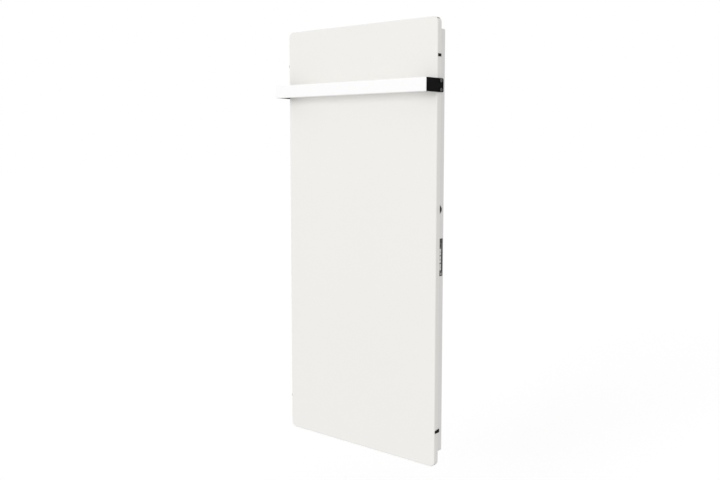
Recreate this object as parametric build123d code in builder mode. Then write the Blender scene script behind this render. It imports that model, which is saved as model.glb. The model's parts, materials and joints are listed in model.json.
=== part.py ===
from build123d import *
import os
from math import sqrt

# Wall panel convector heater with a towel bar.
# Millimetres. +Z is up, the front faces -Y and the viewer's right is +X.
# The origin is the centre of the four wall screws, on the plane of the wall.

os.makedirs("parts", exist_ok=True)

# ---------------------------------------------------------------- driving dimensions

# Front panel: a pressed steel tray, open at the back
panel_width = 450.0
panel_height = 1000.0
panel_depth = 14.0
panel_sheet = 1.2
panel_corner_radius = 13.0
panel_edge_radius = 2.5
corner_seam_width = 3.0  # between the folded flanges, at the middle of each corner
corner_seam_depth = 0.7  # down to the tab that closes it from inside
screws_below_top = 200.0  # the wall screws' centre below the panel's upper edge

# Rear casing: a folded steel box, open at the front, that laps inside the tray
casing_sheet = 1.0
casing_behind_panel = 17.0
casing_lap = 10.0
casing_below_top = 25.0
casing_above_foot = 32.5
casing_corner_radius = 4.0
casing_edge_radius = 2.0
lap_clearance = 0.3
wall_gap = 15.0  # from the casing's rear to the wall
cut_over = 1.0  # how far a cut runs past the face it starts from

# Vents in the casing's top and bottom
vent_length = 32.0
vent_width = 6.0
vent_pitch = 40.0
vent_row_pitch = 12.0
vent_row_depth = 16.0  # the middle of the two rows, behind the panel's front
vent_side_margin = 27.5
foot_vent_gap = 75.0  # from the last of them to the inlet gland

# Element sandwich on the tray's back
element_side_margin = 25.0  # inside the panel's outline
element_end_margin = 60.0
mica_thickness = 0.8
mica_corner_radius = 4.0
track_thickness = 0.3
track_width = 4.0
track_legs = 24
track_side_margin = 16.0
track_margin = 20.0  # from the track's turns to the mica's edge
tab_width = 8.0
tab_reach = 8.0  # how far the track's tabs stand out of the mica
backing_thickness = 0.6
backing_overlap = 2.0
clamp_bar_side_margin = 10.0
clamp_bar_height = 16.0
clamp_bar_thickness = 1.5
clamp_bar_corner_radius = 3.0
clamp_bar_pitch = 250.0
stud_side_margin = 15.0
stud_radius = 2.0
stud_length = 9.0
nut_flats = 7.0
nut_thickness = 3.2
thread_clearance = 0.05
hole_clearance = 0.25

# Insulation board on the casing's rear sheet
board_thickness = 3.0
board_side_gap = 17.5
board_housing_gap = 6.0
board_margin = 9.0
board_notch_reach = 57.0  # to the left of the mains terminals
board_notch_height = 90.0
hook_window_margin = 6.0
spacer_window_margin = 3.0

# Wall bracket
bracket_sheet = 2.0
bracket_width = 300.0
bracket_height = 100.0
bracket_corner_radius = 6.0
wall_hole_radius = 3.0
wall_hole_spacing_x = 260.0
wall_hole_spacing_z = 60.0
hook_spacing = 200.0
hook_width = 40.0
hook_lip = 12.0
hook_seat_clearance = 0.3
hook_slot_margin = 2.0
hook_slot_spare = 1.5

# Rubber spacers at the casing's foot
spacer_radius = 10.0
spacer_stem_radius = 3.0
spacer_head_radius = 5.0
spacer_head_thickness = 2.0
spacer_taper = 2.0
spacer_side_margin = 135.0
spacer_above_foot = 40.0

# Retaining clips on the tray's long edges
clip_above_foot = 49.0  # the lower clips' middle, above the casing's lower end
clip_below_top = 57.5
clip_height = 6.0
clip_wall = 1.2
clip_edge_radius = 0.3
clip_gap = 0.1
clip_leg = 1.0
clip_leg_inset = 0.8  # from the strap's ends to its legs
clip_leg_gap = 0.3  # from the front leg to the casing's front edge
clip_strap_inset = 1.5  # from the tray's rear edge to the strap's rear end
clip_barb = 2.0
clip_barb_catch = 0.6
clip_tab_rise = 1.5
clip_tab_length = 9.0
clip_tab_reach = 3.5  # behind the tray's rear edge

# Towel bar: a flat rectangular tube between two flat arms
bar_below_top = 132.0
bar_height = 30.0
bar_depth = 10.0
bar_wall = 1.5
bar_corner_radius = 2.0
bar_reach = 45.0  # from the panel's front to the bar's front
bar_end_clearance = 0.3
arm_thickness = 2.5
arm_edge_radius = 0.5
arm_behind_front = 20.0
arm_corner_radius = 3.5
arm_gap = 0.1
arm_tab_length = 30.0
arm_tab_height = 24.0
insert_length = 36.0
insert_clearance = 0.3
arm_screw_depth = 9.3  # behind the panel's front
arm_screw_spacing = 20.0
screw_radius = 2.0
screw_head_radius = 4.0
screw_head_height = 2.2
screw_socket_flats = 2.5
screw_socket_depth = 1.3
screw_length = 10.0
bar_screw_spacing = 14.0
nut_plate_thickness = 3.0
nut_plate_depth = 9.0
nut_plate_height = 34.0

# Control strip in the casing's right side
strip_height = 84.0
strip_width = 13.0
strip_depth = 21.0  # its middle, behind the panel's front
strip_rise = -23.8  # its middle, from the panel's middle
strip_clearance = 0.3
strip_corner_radius = 1.5
fascia_proud = 0.4
fascia_flange = 1.5
fascia_flange_margin = 1.2
lens_thickness = 1.2
lens_clearance = 0.2
lens_ledge = 0.7
lens_corner_radius = 0.3
display_height = 8.4
display_width = 10.0
display_rise = 36.3  # from the strip's middle
receiver_width = 5.0
receiver_height = 6.0
receiver_rise = 26.1
guide_height = 43.5
guide_width = 3.8
guide_offset = 3.4  # behind the strip's middle
guide_rise = -9.5
guide_stem_width = 1.8
key_height = 14.6
key_width = 5.0
key_pitch = 16.8
key_offset = -3.0
key_rise = -4.8  # the middle key, from the strip's middle
power_key_height = 7.0
power_key_width = 9.0
power_key_rise = -36.8
key_proud = 0.5
key_clearance = 0.3
key_flange = 0.8
key_flange_thickness = 1.3
key_edge_radius = 0.4
key_stem_radius = 1.25
key_travel = 0.8
key_stop_gap = 0.3

# Setting wheel above the strip
wheel_radius = 11.0
wheel_thickness = 2.6
wheel_depth = 15.7  # its middle, behind the panel's front
wheel_rise = 83.0
wheel_proud = 3.2  # beyond the panel's side
wheel_grooves = 40
wheel_groove_radius = 0.35
wheel_dish_radius = 6.5
wheel_dish_depth = 0.8
wheel_slot_clearance = 0.7
wheel_shaft_radius = 2.0
wheel_shaft_flat = 1.5
wheel_shaft_length = 9.9
shaft_clearance = 0.05

# Control housing and what it holds
housing_wall = 1.2
housing_reach = 38.4  # from its mouth to its inner end
housing_front_depth = 7.0
housing_gap = 0.1
housing_below_strip = 9.2
housing_above_wheel = 13.0
housing_ear = 10.0
housing_ear_depth = 8.0
casing_screw_radius = 1.7
casing_screw_length = 7.0
control_board_reach = 18.4  # from the housing's mouth to the board's inner side
control_board_thickness = 1.6
control_board_gap = 0.3
rail_width = 1.0
lead_entry_width = 12.0
lead_entry_depth = 14.0
lead_entry_margin = 1.0
switch_side = 6.0
switch_height = 3.5
switch_stem_radius = 1.7
switch_stem_height = 1.2
led_height = 1.6
module_base = 2.5
led_pitch = 9.0
led_count = 5
pot_height = 16.0
pot_gap = 0.6
pot_depth = 8.0

# What stands on the control board's inner side, as depth along X, width along Y, height along Z
relay_size = (15.0, 12.5, 28.0)
relay_rise = 12.0
transformer_size = (14.0, 16.0, 30.0)
transformer_rise = 58.0
capacitor_radius = 5.0
capacitor_length = 12.0
capacitor_rise = -20.0
board_terminal_size = (16.0, 10.0, 10.0)
board_terminal_inset = 6.0

# Mains terminals, earth point, inlet gland and room sensor at the casing's foot
terminal_from_side = 57.5
terminal_above_foot = 47.5
terminal_pole_pitch = 12.0
terminal_height = 20.0
terminal_depth = 14.0
terminal_foot = 3.0
terminal_screw_spacing = 48.0
terminal_screw_margin = 6.0
pole_bore_radius = 2.2
pole_bore_depth = 6.5
pole_well_depth = 2.2
earth_beside_terminal = 40.0
earth_stud_length = 8.0
earth_lug_radius = 5.0
earth_lug_sheet = 1.0
earth_lug_reach = 9.0
gland_from_side = 57.5
gland_depth = 18.7
gland_bore_radius = 4.0
gland_thread_radius = 8.0
gland_flats = 20.0
gland_flange = 5.0
gland_tail = 9.0
gland_neck_radius = 8.6
gland_neck_length = 6.0
gland_cap_length = 14.0
gland_cap_gap = 0.3
gland_cap_chamfer = 2.3
gland_nut_thickness = 4.0
sensor_from_side = 22.5
sensor_depth = 18.0
sensor_reach = 8.0
sensor_radius = 2.0
sensor_tip_radius = 1.8
holder_radius = 4.0
holder_collar = 1.5
holder_length = 10.0

# Overheat cut-out on the backing plate
cutout_from_element_side = 80.0
cutout_below_clamp_bar = 45.0
cutout_flange_radius = 8.0
cutout_flange = 1.0
cutout_radius = 6.5
cutout_height = 9.0
blade_width = 6.3
blade_thickness = 0.8
blade_length = 14.0
cutout_clamp_length = 34.0
cutout_clamp_width = 20.0
cutout_clamp_sheet = 0.8
cutout_clamp_foot = 6.0

# Leads
lead_radius = 1.3
lead_bend = 4.0
lead_depth = 7.2  # along the sandwich, behind the panel's front
supply_lead_depth = 23.0
entry_front_depth = 12.5
entry_rear_depth = 17.0
entry_pitch = 4.0
entry_run = 20.0  # straight run below and above the housing
lead_slant = 20.0
tab_lead_rise = 3.9
supply_lead_rise = 70.0  # above the terminal block, before the leads go forward
supply_lead_slant = 40.0
earth_lead_rise = 20.0

# ---------------------------------------------------------------- places worked out from them

casing_rear_y = -wall_gap
panel_rear_y = casing_rear_y - casing_behind_panel
panel_front_y = panel_rear_y - panel_depth
panel_inner_y = panel_front_y + panel_sheet
panel_top_z = screws_below_top
panel_foot_z = panel_top_z - panel_height
panel_mid_z = panel_foot_z + panel_height / 2
panel_side_x = panel_width / 2

casing_side_x = panel_side_x - panel_sheet - lap_clearance
casing_inner_x = casing_side_x - casing_sheet
casing_front_y = panel_rear_y - casing_lap
casing_inner_y = casing_rear_y - casing_sheet
casing_foot_z = panel_foot_z + casing_above_foot
casing_top_z = panel_top_z - casing_below_top
casing_mid_z = (casing_foot_z + casing_top_z) / 2
clip_rows = {"bottom": casing_foot_z + clip_above_foot, "top": casing_top_z - clip_below_top}
clip_rear_y = panel_rear_y - clip_strap_inset
front_leg_y = casing_front_y - clip_leg_gap - clip_leg / 2
rear_leg_y = clip_rear_y - clip_leg_inset - clip_leg / 2
clip_leg_places = (front_leg_y, rear_leg_y)

element_width = panel_width - 2 * element_side_margin
element_height = panel_height - 2 * element_end_margin
track_pitch = (element_width - 2 * track_side_margin) / (track_legs - 1)
clamp_bar_length = panel_width - 2 * clamp_bar_side_margin
stud_spacing = panel_width - 2 * stud_side_margin
spacer_spacing = panel_width - 2 * spacer_side_margin

terminal_x = casing_inner_x - terminal_from_side
terminal_z = casing_foot_z + terminal_above_foot
earth_x = terminal_x - earth_beside_terminal
gland_x = casing_inner_x - gland_from_side
sensor_x = casing_inner_x - sensor_from_side

bar_mid_z = panel_top_z - bar_below_top - bar_height / 2
arm_inner_x = panel_side_x + arm_gap
arm_outer_x = arm_inner_x + arm_thickness
bar_front_y = panel_front_y - bar_reach
bar_rear_y = bar_front_y + bar_depth
bar_length = 2 * (arm_inner_x - bar_end_clearance)
arm_front_y = bar_front_y + bar_wall + arm_gap
tab_rear_y = bar_rear_y + arm_gap + arm_thickness
arm_screw_y = panel_front_y + arm_screw_depth

strip_mid_y = panel_front_y + strip_depth
strip_mid_z = panel_mid_z + strip_rise
fascia_face_x = casing_side_x + fascia_proud
fascia_rear_x = casing_inner_x - housing_gap - fascia_flange
housing_mouth_x = casing_inner_x - housing_gap
housing_inner_x = housing_mouth_x - housing_reach
control_board_x = housing_mouth_x - control_board_reach
board_face_x = control_board_x + control_board_thickness
switch_top_x = board_face_x + switch_height + switch_stem_height
wheel_axis_x = panel_side_x + wheel_proud - wheel_radius
wheel_mid_y = panel_front_y + wheel_depth
wheel_mid_z = panel_mid_z + wheel_rise
housing_front_y = panel_front_y + housing_front_depth
housing_rear_y = casing_inner_y - housing_gap
housing_foot_z = strip_mid_z - strip_height / 2 - housing_below_strip
housing_top_z = wheel_mid_z + wheel_radius + housing_above_wheel


def facing_front(y):
    """Plane at depth y seen from the front: local x is +X, local y is +Z, normal -Y."""
    return Plane.XZ.offset(-y)


def facing_right(x):
    """Plane at x seen from the right: local x is +Y, local y is +Z, normal +X."""
    return Plane.YZ.offset(x)


def facing_up(z):
    """Plane at height z seen from above: local x is +X, local y is +Y, normal +Z."""
    return Plane.XY.offset(z)


def behind_front(depth):
    """The y of a point that lies this far behind the panel's front face."""
    return panel_front_y + depth


def hex_radius(flats):
    """Corner radius of a hexagon with this distance across its flats."""
    return flats / sqrt(3)


# ---------------------------------------------------------------- front panel

clamp_bar_names = ("bottom", "lower", "upper", "top")
lowest_bar_z = panel_mid_z - (len(clamp_bar_names) - 1) / 2 * clamp_bar_pitch
clamp_bar_places = {
    name: lowest_bar_z + row * clamp_bar_pitch for row, name in enumerate(clamp_bar_names)
}
stud_places = [
    (side * stud_spacing / 2, bar_z) for bar_z in clamp_bar_places.values() for side in (-1, 1)
]
arm_screw_places = [
    (arm_screw_y, bar_mid_z - arm_screw_spacing / 2),
    (arm_screw_y, bar_mid_z + arm_screw_spacing / 2),
]

corner_centre_x = panel_side_x - panel_corner_radius
corner_centre_rise = panel_height / 2 - panel_corner_radius
corner_seam_mid_radius = panel_corner_radius + (cut_over - corner_seam_depth) / 2

with BuildPart() as front_panel:
    with BuildSketch(facing_front(panel_rear_y)):
        with Locations((0, panel_mid_z)):
            RectangleRounded(panel_width, panel_height, panel_corner_radius)
    extrude(amount=panel_depth)
    fillet(front_panel.faces().sort_by(Axis.Y)[0].edges(), panel_edge_radius)
    offset(amount=-panel_sheet, openings=front_panel.faces().sort_by(Axis.Y)[-1])
    # Seams where the folded flanges meet, each closed from inside by a tab
    with BuildSketch(facing_front(panel_rear_y)):
        for turn in (45, 135, 225, 315):
            across = 1 if turn in (45, 315) else -1
            up = 1 if turn < 180 else -1
            with Locations((across * corner_centre_x, panel_mid_z + up * corner_centre_rise)):
                with PolarLocations(corner_seam_mid_radius, 1, start_angle=turn):
                    Rectangle(corner_seam_depth + cut_over, corner_seam_width)
    extrude(amount=panel_depth - panel_edge_radius, mode=Mode.SUBTRACT)
    # Welded studs on the tray's back
    with BuildSketch(facing_front(panel_inner_y + stud_length)):
        with Locations(*stud_places):
            Circle(stud_radius)
    extrude(amount=stud_length + panel_sheet / 2)
    # Holes for the towel bar's screws and slots for the clips' legs, through both long flanges
    with BuildSketch(Plane.YZ):
        with Locations(*arm_screw_places):
            Circle(screw_radius + hole_clearance)
        with Locations(*[(leg_y, clip_z) for clip_z in clip_rows.values() for leg_y in clip_leg_places]):
            Rectangle(clip_leg + 2 * hole_clearance, clip_height + 2 * hole_clearance)
    extrude(amount=panel_side_x + cut_over, both=True, mode=Mode.SUBTRACT)

front_panel.part.label = "front_panel"
export_step(front_panel.part, "parts/front_panel.step")

# ---------------------------------------------------------------- element sandwich

mica_front_y = panel_inner_y + mica_thickness
track_rear_y = mica_front_y + track_thickness
mica_rear_y = track_rear_y + mica_thickness
backing_rear_y = mica_rear_y + backing_thickness
clamp_rear_y = backing_rear_y + clamp_bar_thickness
nut_rear_y = clamp_rear_y + nut_thickness
leg_height = element_height - 2 * track_margin
first_leg_x = -(track_legs - 1) * track_pitch / 2
tab_foot_z = panel_mid_z - element_height / 2 - tab_reach

# Two mica sheets with the track between them
with BuildPart() as mica_sheets:
    for rear_y in (mica_front_y, mica_rear_y):
        with BuildSketch(facing_front(rear_y)):
            with Locations((0, panel_mid_z)):
                RectangleRounded(element_width, element_height, mica_corner_radius)
        extrude(amount=mica_thickness)

mica_sheets.part.label = "mica_sheets"
export_step(mica_sheets.part, "parts/mica_sheets.step")

# One ribbon that runs up and down between the mica sheets, with a tab at each end
with BuildPart() as resistance_track:
    with BuildSketch(facing_front(track_rear_y)):
        with Locations((0, panel_mid_z)):
            with GridLocations(track_pitch, 0, track_legs, 1):
                Rectangle(track_width, leg_height + track_width)
        for leg in range(track_legs - 1):
            turn_side = 1 if leg % 2 == 0 else -1
            turn_x = first_leg_x + (leg + 0.5) * track_pitch
            with Locations((turn_x, panel_mid_z + turn_side * leg_height / 2)):
                Rectangle(track_pitch, track_width)
        tab_height = track_margin + tab_reach
        with Locations(
            (first_leg_x, tab_foot_z + tab_height / 2),
            (-first_leg_x, tab_foot_z + tab_height / 2),
        ):
            Rectangle(tab_width, tab_height)
    extrude(amount=track_thickness)

resistance_track.part.label = "resistance_track"
export_step(resistance_track.part, "parts/resistance_track.step")

with BuildPart() as backing_plate:
    with BuildSketch(facing_front(backing_rear_y)):
        with Locations((0, panel_mid_z)):
            Rectangle(element_width + 2 * backing_overlap, element_height + 2 * backing_overlap)
    extrude(amount=backing_thickness)
    fillet(backing_plate.edges().filter_by(Axis.Y), mica_corner_radius + backing_overlap)

backing_plate.part.label = "backing_plate"
export_step(backing_plate.part, "parts/backing_plate.step")

for place, bar_z in clamp_bar_places.items():
    with BuildPart() as clamp_bar:
        with BuildSketch(facing_front(clamp_rear_y)):
            with Locations((0, bar_z)):
                RectangleRounded(clamp_bar_length, clamp_bar_height, clamp_bar_corner_radius)
                with GridLocations(stud_spacing, 0, 2, 1):
                    Circle(stud_radius + hole_clearance, mode=Mode.SUBTRACT)
        extrude(amount=clamp_bar_thickness)
    clamp_bar.part.label = f"clamp_bar_{place}"
    export_step(clamp_bar.part, f"parts/clamp_bar_{place}.step")


# ---------------------------------------------------------------- rear casing

hook_top_z = bracket_height / 2
hook_slot_top_z = hook_top_z + hook_seat_clearance
hook_slot_height = bracket_sheet + hook_lip + hook_slot_spare
hook_slot_mid_z = hook_slot_top_z - hook_slot_height / 2
spacer_z = casing_foot_z + spacer_above_foot
wheel_slot_height = 2 * sqrt(wheel_radius**2 - (casing_inner_x - wheel_axis_x) ** 2)
ear_mid_x = (housing_inner_x + control_board_x) / 2
ear_places = [
    (ear_mid_x, housing_foot_z - housing_ear / 2),
    (ear_mid_x, housing_top_z + housing_ear / 2),
]
terminal_screw_places = [
    (terminal_x - terminal_screw_spacing / 2, terminal_z),
    (terminal_x + terminal_screw_spacing / 2, terminal_z),
]
terminal_base_width = terminal_screw_spacing + 2 * terminal_screw_margin
gland_y = behind_front(gland_depth)
sensor_y = behind_front(sensor_depth)
vent_y = behind_front(vent_row_depth)
foot_vent_room = gland_x - foot_vent_gap + casing_side_x - vent_side_margin
foot_vent_columns = int(foot_vent_room / vent_pitch)
foot_vent_span = (foot_vent_columns - 1) * vent_pitch + vent_length
foot_vent_mid_x = vent_side_margin - casing_side_x + foot_vent_span / 2
top_vent_columns = int((2 * casing_side_x - vent_side_margin) / vent_pitch)

with BuildPart() as rear_casing:
    with BuildSketch(facing_front(casing_rear_y)):
        with Locations((0, casing_mid_z)):
            RectangleRounded(2 * casing_side_x, casing_top_z - casing_foot_z, casing_corner_radius)
    extrude(amount=casing_rear_y - casing_front_y)
    fillet(rear_casing.faces().sort_by(Axis.Y)[-1].edges(), casing_edge_radius)
    offset(amount=-casing_sheet, openings=rear_casing.faces().sort_by(Axis.Y)[0])
    # Vents
    with BuildSketch(facing_up(casing_top_z)):
        with Locations((0, vent_y)):
            with GridLocations(vent_pitch, vent_row_pitch, top_vent_columns, 2):
                SlotOverall(vent_length, vent_width)
    extrude(amount=casing_sheet * 2, both=True, mode=Mode.SUBTRACT)
    with BuildSketch(facing_up(casing_foot_z)):
        with Locations((foot_vent_mid_x, vent_y)):
            with GridLocations(vent_pitch, vent_row_pitch, foot_vent_columns, 2):
                SlotOverall(vent_length, vent_width)
        with Locations((gland_x, gland_y)):
            Circle(gland_thread_radius + hole_clearance)
        with Locations((sensor_x, sensor_y)):
            Circle(holder_radius + hole_clearance)
    extrude(amount=casing_sheet * 2, both=True, mode=Mode.SUBTRACT)
    # Rear sheet: slots for the wall bracket's hooks, holes for the spacers and the screws
    with BuildSketch(facing_front(casing_rear_y)):
        with Locations((0, hook_slot_mid_z)):
            with GridLocations(hook_spacing, 0, 2, 1):
                Rectangle(hook_width + 2 * hook_slot_margin, hook_slot_height)
        with Locations((0, spacer_z)):
            with GridLocations(spacer_spacing, 0, 2, 1):
                Circle(spacer_stem_radius + hole_clearance)
        with Locations(*ear_places, *terminal_screw_places, (earth_x, terminal_z)):
            Circle(screw_radius + hole_clearance)
    extrude(amount=casing_sheet * 2, both=True, mode=Mode.SUBTRACT)
    # Both sides: slots for the clips and holes for the towel bar's screws
    with BuildSketch(Plane.YZ):
        with Locations(*[(rear_leg_y, clip_z) for clip_z in clip_rows.values()]):
            Rectangle(clip_leg + 2 * hole_clearance, clip_height + 2 * hole_clearance)
        with Locations(*arm_screw_places):
            Circle(screw_radius + hole_clearance)
    extrude(amount=panel_side_x, both=True, mode=Mode.SUBTRACT)
    # Right side: the control strip's opening and the setting wheel's slot
    with BuildSketch(facing_right(casing_side_x)):
        with Locations((strip_mid_y, strip_mid_z)):
            RectangleRounded(strip_width, strip_height, strip_corner_radius)
        with Locations((wheel_mid_y, wheel_mid_z)):
            Rectangle(
                wheel_thickness + 2 * wheel_slot_clearance,
                wheel_slot_height + 2 * wheel_slot_clearance,
            )
    extrude(amount=casing_sheet * 2, both=True, mode=Mode.SUBTRACT)

rear_casing.part.label = "rear_casing"
export_step(rear_casing.part, "parts/rear_casing.step")

# ---------------------------------------------------------------- insulation board

board_left = board_side_gap - casing_inner_x
board_right = housing_inner_x - board_housing_gap
board_notch_left = terminal_x - board_notch_reach
board_foot_z = casing_foot_z + casing_sheet + board_margin
board_top_z = casing_top_z - casing_sheet - board_margin

with BuildPart() as insulation_board:
    with BuildSketch(facing_front(casing_inner_y)):
        with BuildLine():
            Polyline(
                (board_left, board_foot_z),
                (board_notch_left, board_foot_z),
                (board_notch_left, board_foot_z + board_notch_height),
                (board_right, board_foot_z + board_notch_height),
                (board_right, board_top_z),
                (board_left, board_top_z),
                close=True,
            )
        make_face()
        with Locations((0, hook_slot_mid_z + hook_lip / 2)):
            with GridLocations(hook_spacing, 0, 2, 1):
                Rectangle(
                    hook_width + 2 * hook_slot_margin + 2 * hook_window_margin,
                    hook_slot_height + hook_lip + 2 * hook_window_margin,
                    mode=Mode.SUBTRACT,
                )
        with Locations((0, spacer_z)):
            with GridLocations(spacer_spacing, 0, 2, 1):
                Circle(spacer_head_radius + spacer_window_margin, mode=Mode.SUBTRACT)
    extrude(amount=board_thickness)

insulation_board.part.label = "insulation_board"
export_step(insulation_board.part, "parts/insulation_board.step")

# ---------------------------------------------------------------- wall bracket and spacers

hook_lip_y = casing_inner_y - hook_seat_clearance

with BuildPart() as wall_bracket:
    with BuildSketch(facing_front(0)):
        RectangleRounded(bracket_width, bracket_height, bracket_corner_radius)
        with GridLocations(wall_hole_spacing_x, wall_hole_spacing_z, 2, 2):
            Circle(wall_hole_radius, mode=Mode.SUBTRACT)
    extrude(amount=bracket_sheet)
    # Folded foot that keeps the casing's rear off the wall
    foot_z = -bracket_height / 2
    foot_width = bracket_width - 2 * bracket_corner_radius
    with BuildSketch(facing_up(foot_z)):
        with Locations((0, (casing_rear_y + hook_seat_clearance) / 2)):
            Rectangle(foot_width, wall_gap - hook_seat_clearance)
    extrude(amount=bracket_sheet)
    # Two hooks: a tab that goes forward through the casing's slot, and a lip that turns up inside
    with BuildSketch(facing_up(hook_top_z)):
        with Locations((0, (hook_lip_y - bracket_sheet) / 2)):
            with GridLocations(hook_spacing, 0, 2, 1):
                Rectangle(hook_width, bracket_sheet - hook_lip_y)
    extrude(amount=-bracket_sheet)
    with BuildSketch(facing_front(hook_lip_y)):
        with Locations((0, hook_top_z + hook_lip / 2 - bracket_sheet / 2)):
            with GridLocations(hook_spacing, 0, 2, 1):
                Rectangle(hook_width, hook_lip + bracket_sheet)
    extrude(amount=bracket_sheet)

wall_bracket.part.label = "wall_bracket"
export_step(wall_bracket.part, "parts/wall_bracket.step")

# A push-in rubber foot: foot on the wall, waist in the casing's hole, head inside
for place, side in (("left", -1), ("right", 1)):
    with BuildPart() as spacer:
        with BuildSketch(facing_right(side * spacer_spacing / 2)):
            with BuildLine():
                Polyline(
                    (0, spacer_z),
                    (0, spacer_z + spacer_radius - spacer_taper),
                    (casing_rear_y + hook_seat_clearance, spacer_z + spacer_radius),
                    (casing_rear_y + hook_seat_clearance, spacer_z + spacer_stem_radius),
                    (casing_inner_y - hook_seat_clearance, spacer_z + spacer_stem_radius),
                    (casing_inner_y - hook_seat_clearance, spacer_z + spacer_head_radius),
                    (casing_inner_y - spacer_head_thickness, spacer_z + spacer_stem_radius),
                    (casing_inner_y - spacer_head_thickness, spacer_z),
                    close=True,
                )
            make_face()
        revolve(axis=Axis((side * spacer_spacing / 2, 0, spacer_z), (0, 1, 0)))
    spacer.part.label = f"spacer_{place}"
    export_step(spacer.part, f"parts/spacer_{place}.step")

# ---------------------------------------------------------------- retaining clips

clip_inner_x = panel_side_x + clip_gap
clip_outer_x = clip_inner_x + clip_wall
clip_front_y = front_leg_y - clip_leg / 2 - clip_leg_inset
front_barb_x = panel_side_x - panel_sheet - clip_gap
rear_barb_x = casing_inner_x - clip_gap
clip_tab_y = panel_rear_y + clip_tab_reach - clip_tab_length / 2

for row, clip_z in clip_rows.items():
    for place, side in (("left", -1), ("right", 1)):
        clip_foot_z = clip_z - clip_height / 2
        with BuildPart() as clip:
            # Seen from above: a strap along the tray's side, and two legs with barbs inside
            with BuildSketch(facing_up(clip_foot_z)):
                with BuildLine():
                    Polyline(
                        (side * clip_outer_x, clip_front_y),
                        (side * clip_outer_x, clip_rear_y),
                        (side * clip_inner_x, clip_rear_y),
                        (side * clip_inner_x, rear_leg_y + clip_leg / 2),
                        (side * rear_barb_x, rear_leg_y + clip_leg / 2),
                        (side * rear_barb_x, rear_leg_y + clip_leg / 2 + clip_barb_catch),
                        (side * (rear_barb_x - clip_barb), rear_leg_y + clip_leg / 2),
                        (side * (rear_barb_x - clip_barb), rear_leg_y - clip_leg / 2),
                        (side * clip_inner_x, rear_leg_y - clip_leg / 2),
                        (side * clip_inner_x, front_leg_y + clip_leg / 2),
                        (side * (front_barb_x - clip_barb), front_leg_y + clip_leg / 2),
                        (side * (front_barb_x - clip_barb), front_leg_y - clip_leg / 2),
                        (side * front_barb_x, front_leg_y - clip_leg / 2 - clip_barb_catch),
                        (side * front_barb_x, front_leg_y - clip_leg / 2),
                        (side * clip_inner_x, front_leg_y - clip_leg / 2),
                        (side * clip_inner_x, clip_front_y),
                        close=True,
                    )
                make_face()
            extrude(amount=clip_height)
            if row == "bottom":
                # Finger tab at the strap's rear end
                with BuildSketch(facing_right(side * (clip_inner_x + clip_wall / 2))):
                    with Locations((clip_tab_y, clip_z + clip_tab_rise / 2)):
                        Rectangle(clip_tab_length, clip_height + clip_tab_rise)
                extrude(amount=clip_wall / 2, both=True)
            outer_face = clip.faces().sort_by(Axis.X)[-1 if side > 0 else 0]
            fillet(outer_face.edges(), clip_edge_radius)
        clip.part.label = f"clip_{row}_{place}"
        export_step(clip.part, f"parts/clip_{row}_{place}.step")

# ---------------------------------------------------------------- towel bar

bar_screw_offsets = [
    arm_tab_length / 2 - bar_screw_spacing / 2,
    arm_tab_length / 2 + bar_screw_spacing / 2,
]
bar_screw_places = [
    (side * (arm_inner_x - offset_in), bar_mid_z) for side in (-1, 1) for offset_in in bar_screw_offsets
]

with BuildPart() as towel_bar:
    with BuildSketch(facing_right(-bar_length / 2)):
        with Locations((bar_front_y + bar_depth / 2, bar_mid_z)):
            RectangleRounded(bar_depth, bar_height, bar_corner_radius)
            RectangleRounded(
                bar_depth - 2 * bar_wall,
                bar_height - 2 * bar_wall,
                bar_corner_radius - bar_wall,
                mode=Mode.SUBTRACT,
            )
    extrude(amount=bar_length)
    # The front wall runs on over the arms' front edges
    with BuildSketch(facing_right(-arm_outer_x)):
        with Locations((bar_front_y + bar_depth / 2, bar_mid_z)):
            RectangleRounded(bar_depth, bar_height, bar_corner_radius)
        with Locations((bar_front_y + bar_wall / 2, bar_mid_z)):
            Rectangle(bar_wall, bar_height, mode=Mode.INTERSECT)
    extrude(amount=2 * arm_outer_x)
    # Clearance holes in the rear wall only
    with BuildSketch(facing_front(bar_rear_y + cut_over)):
        with Locations(*bar_screw_places):
            Circle(screw_radius + hole_clearance)
    extrude(amount=bar_wall + 2 * cut_over, mode=Mode.SUBTRACT)

towel_bar.part.label = "towel_bar"
export_step(towel_bar.part, "parts/towel_bar.step")

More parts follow.
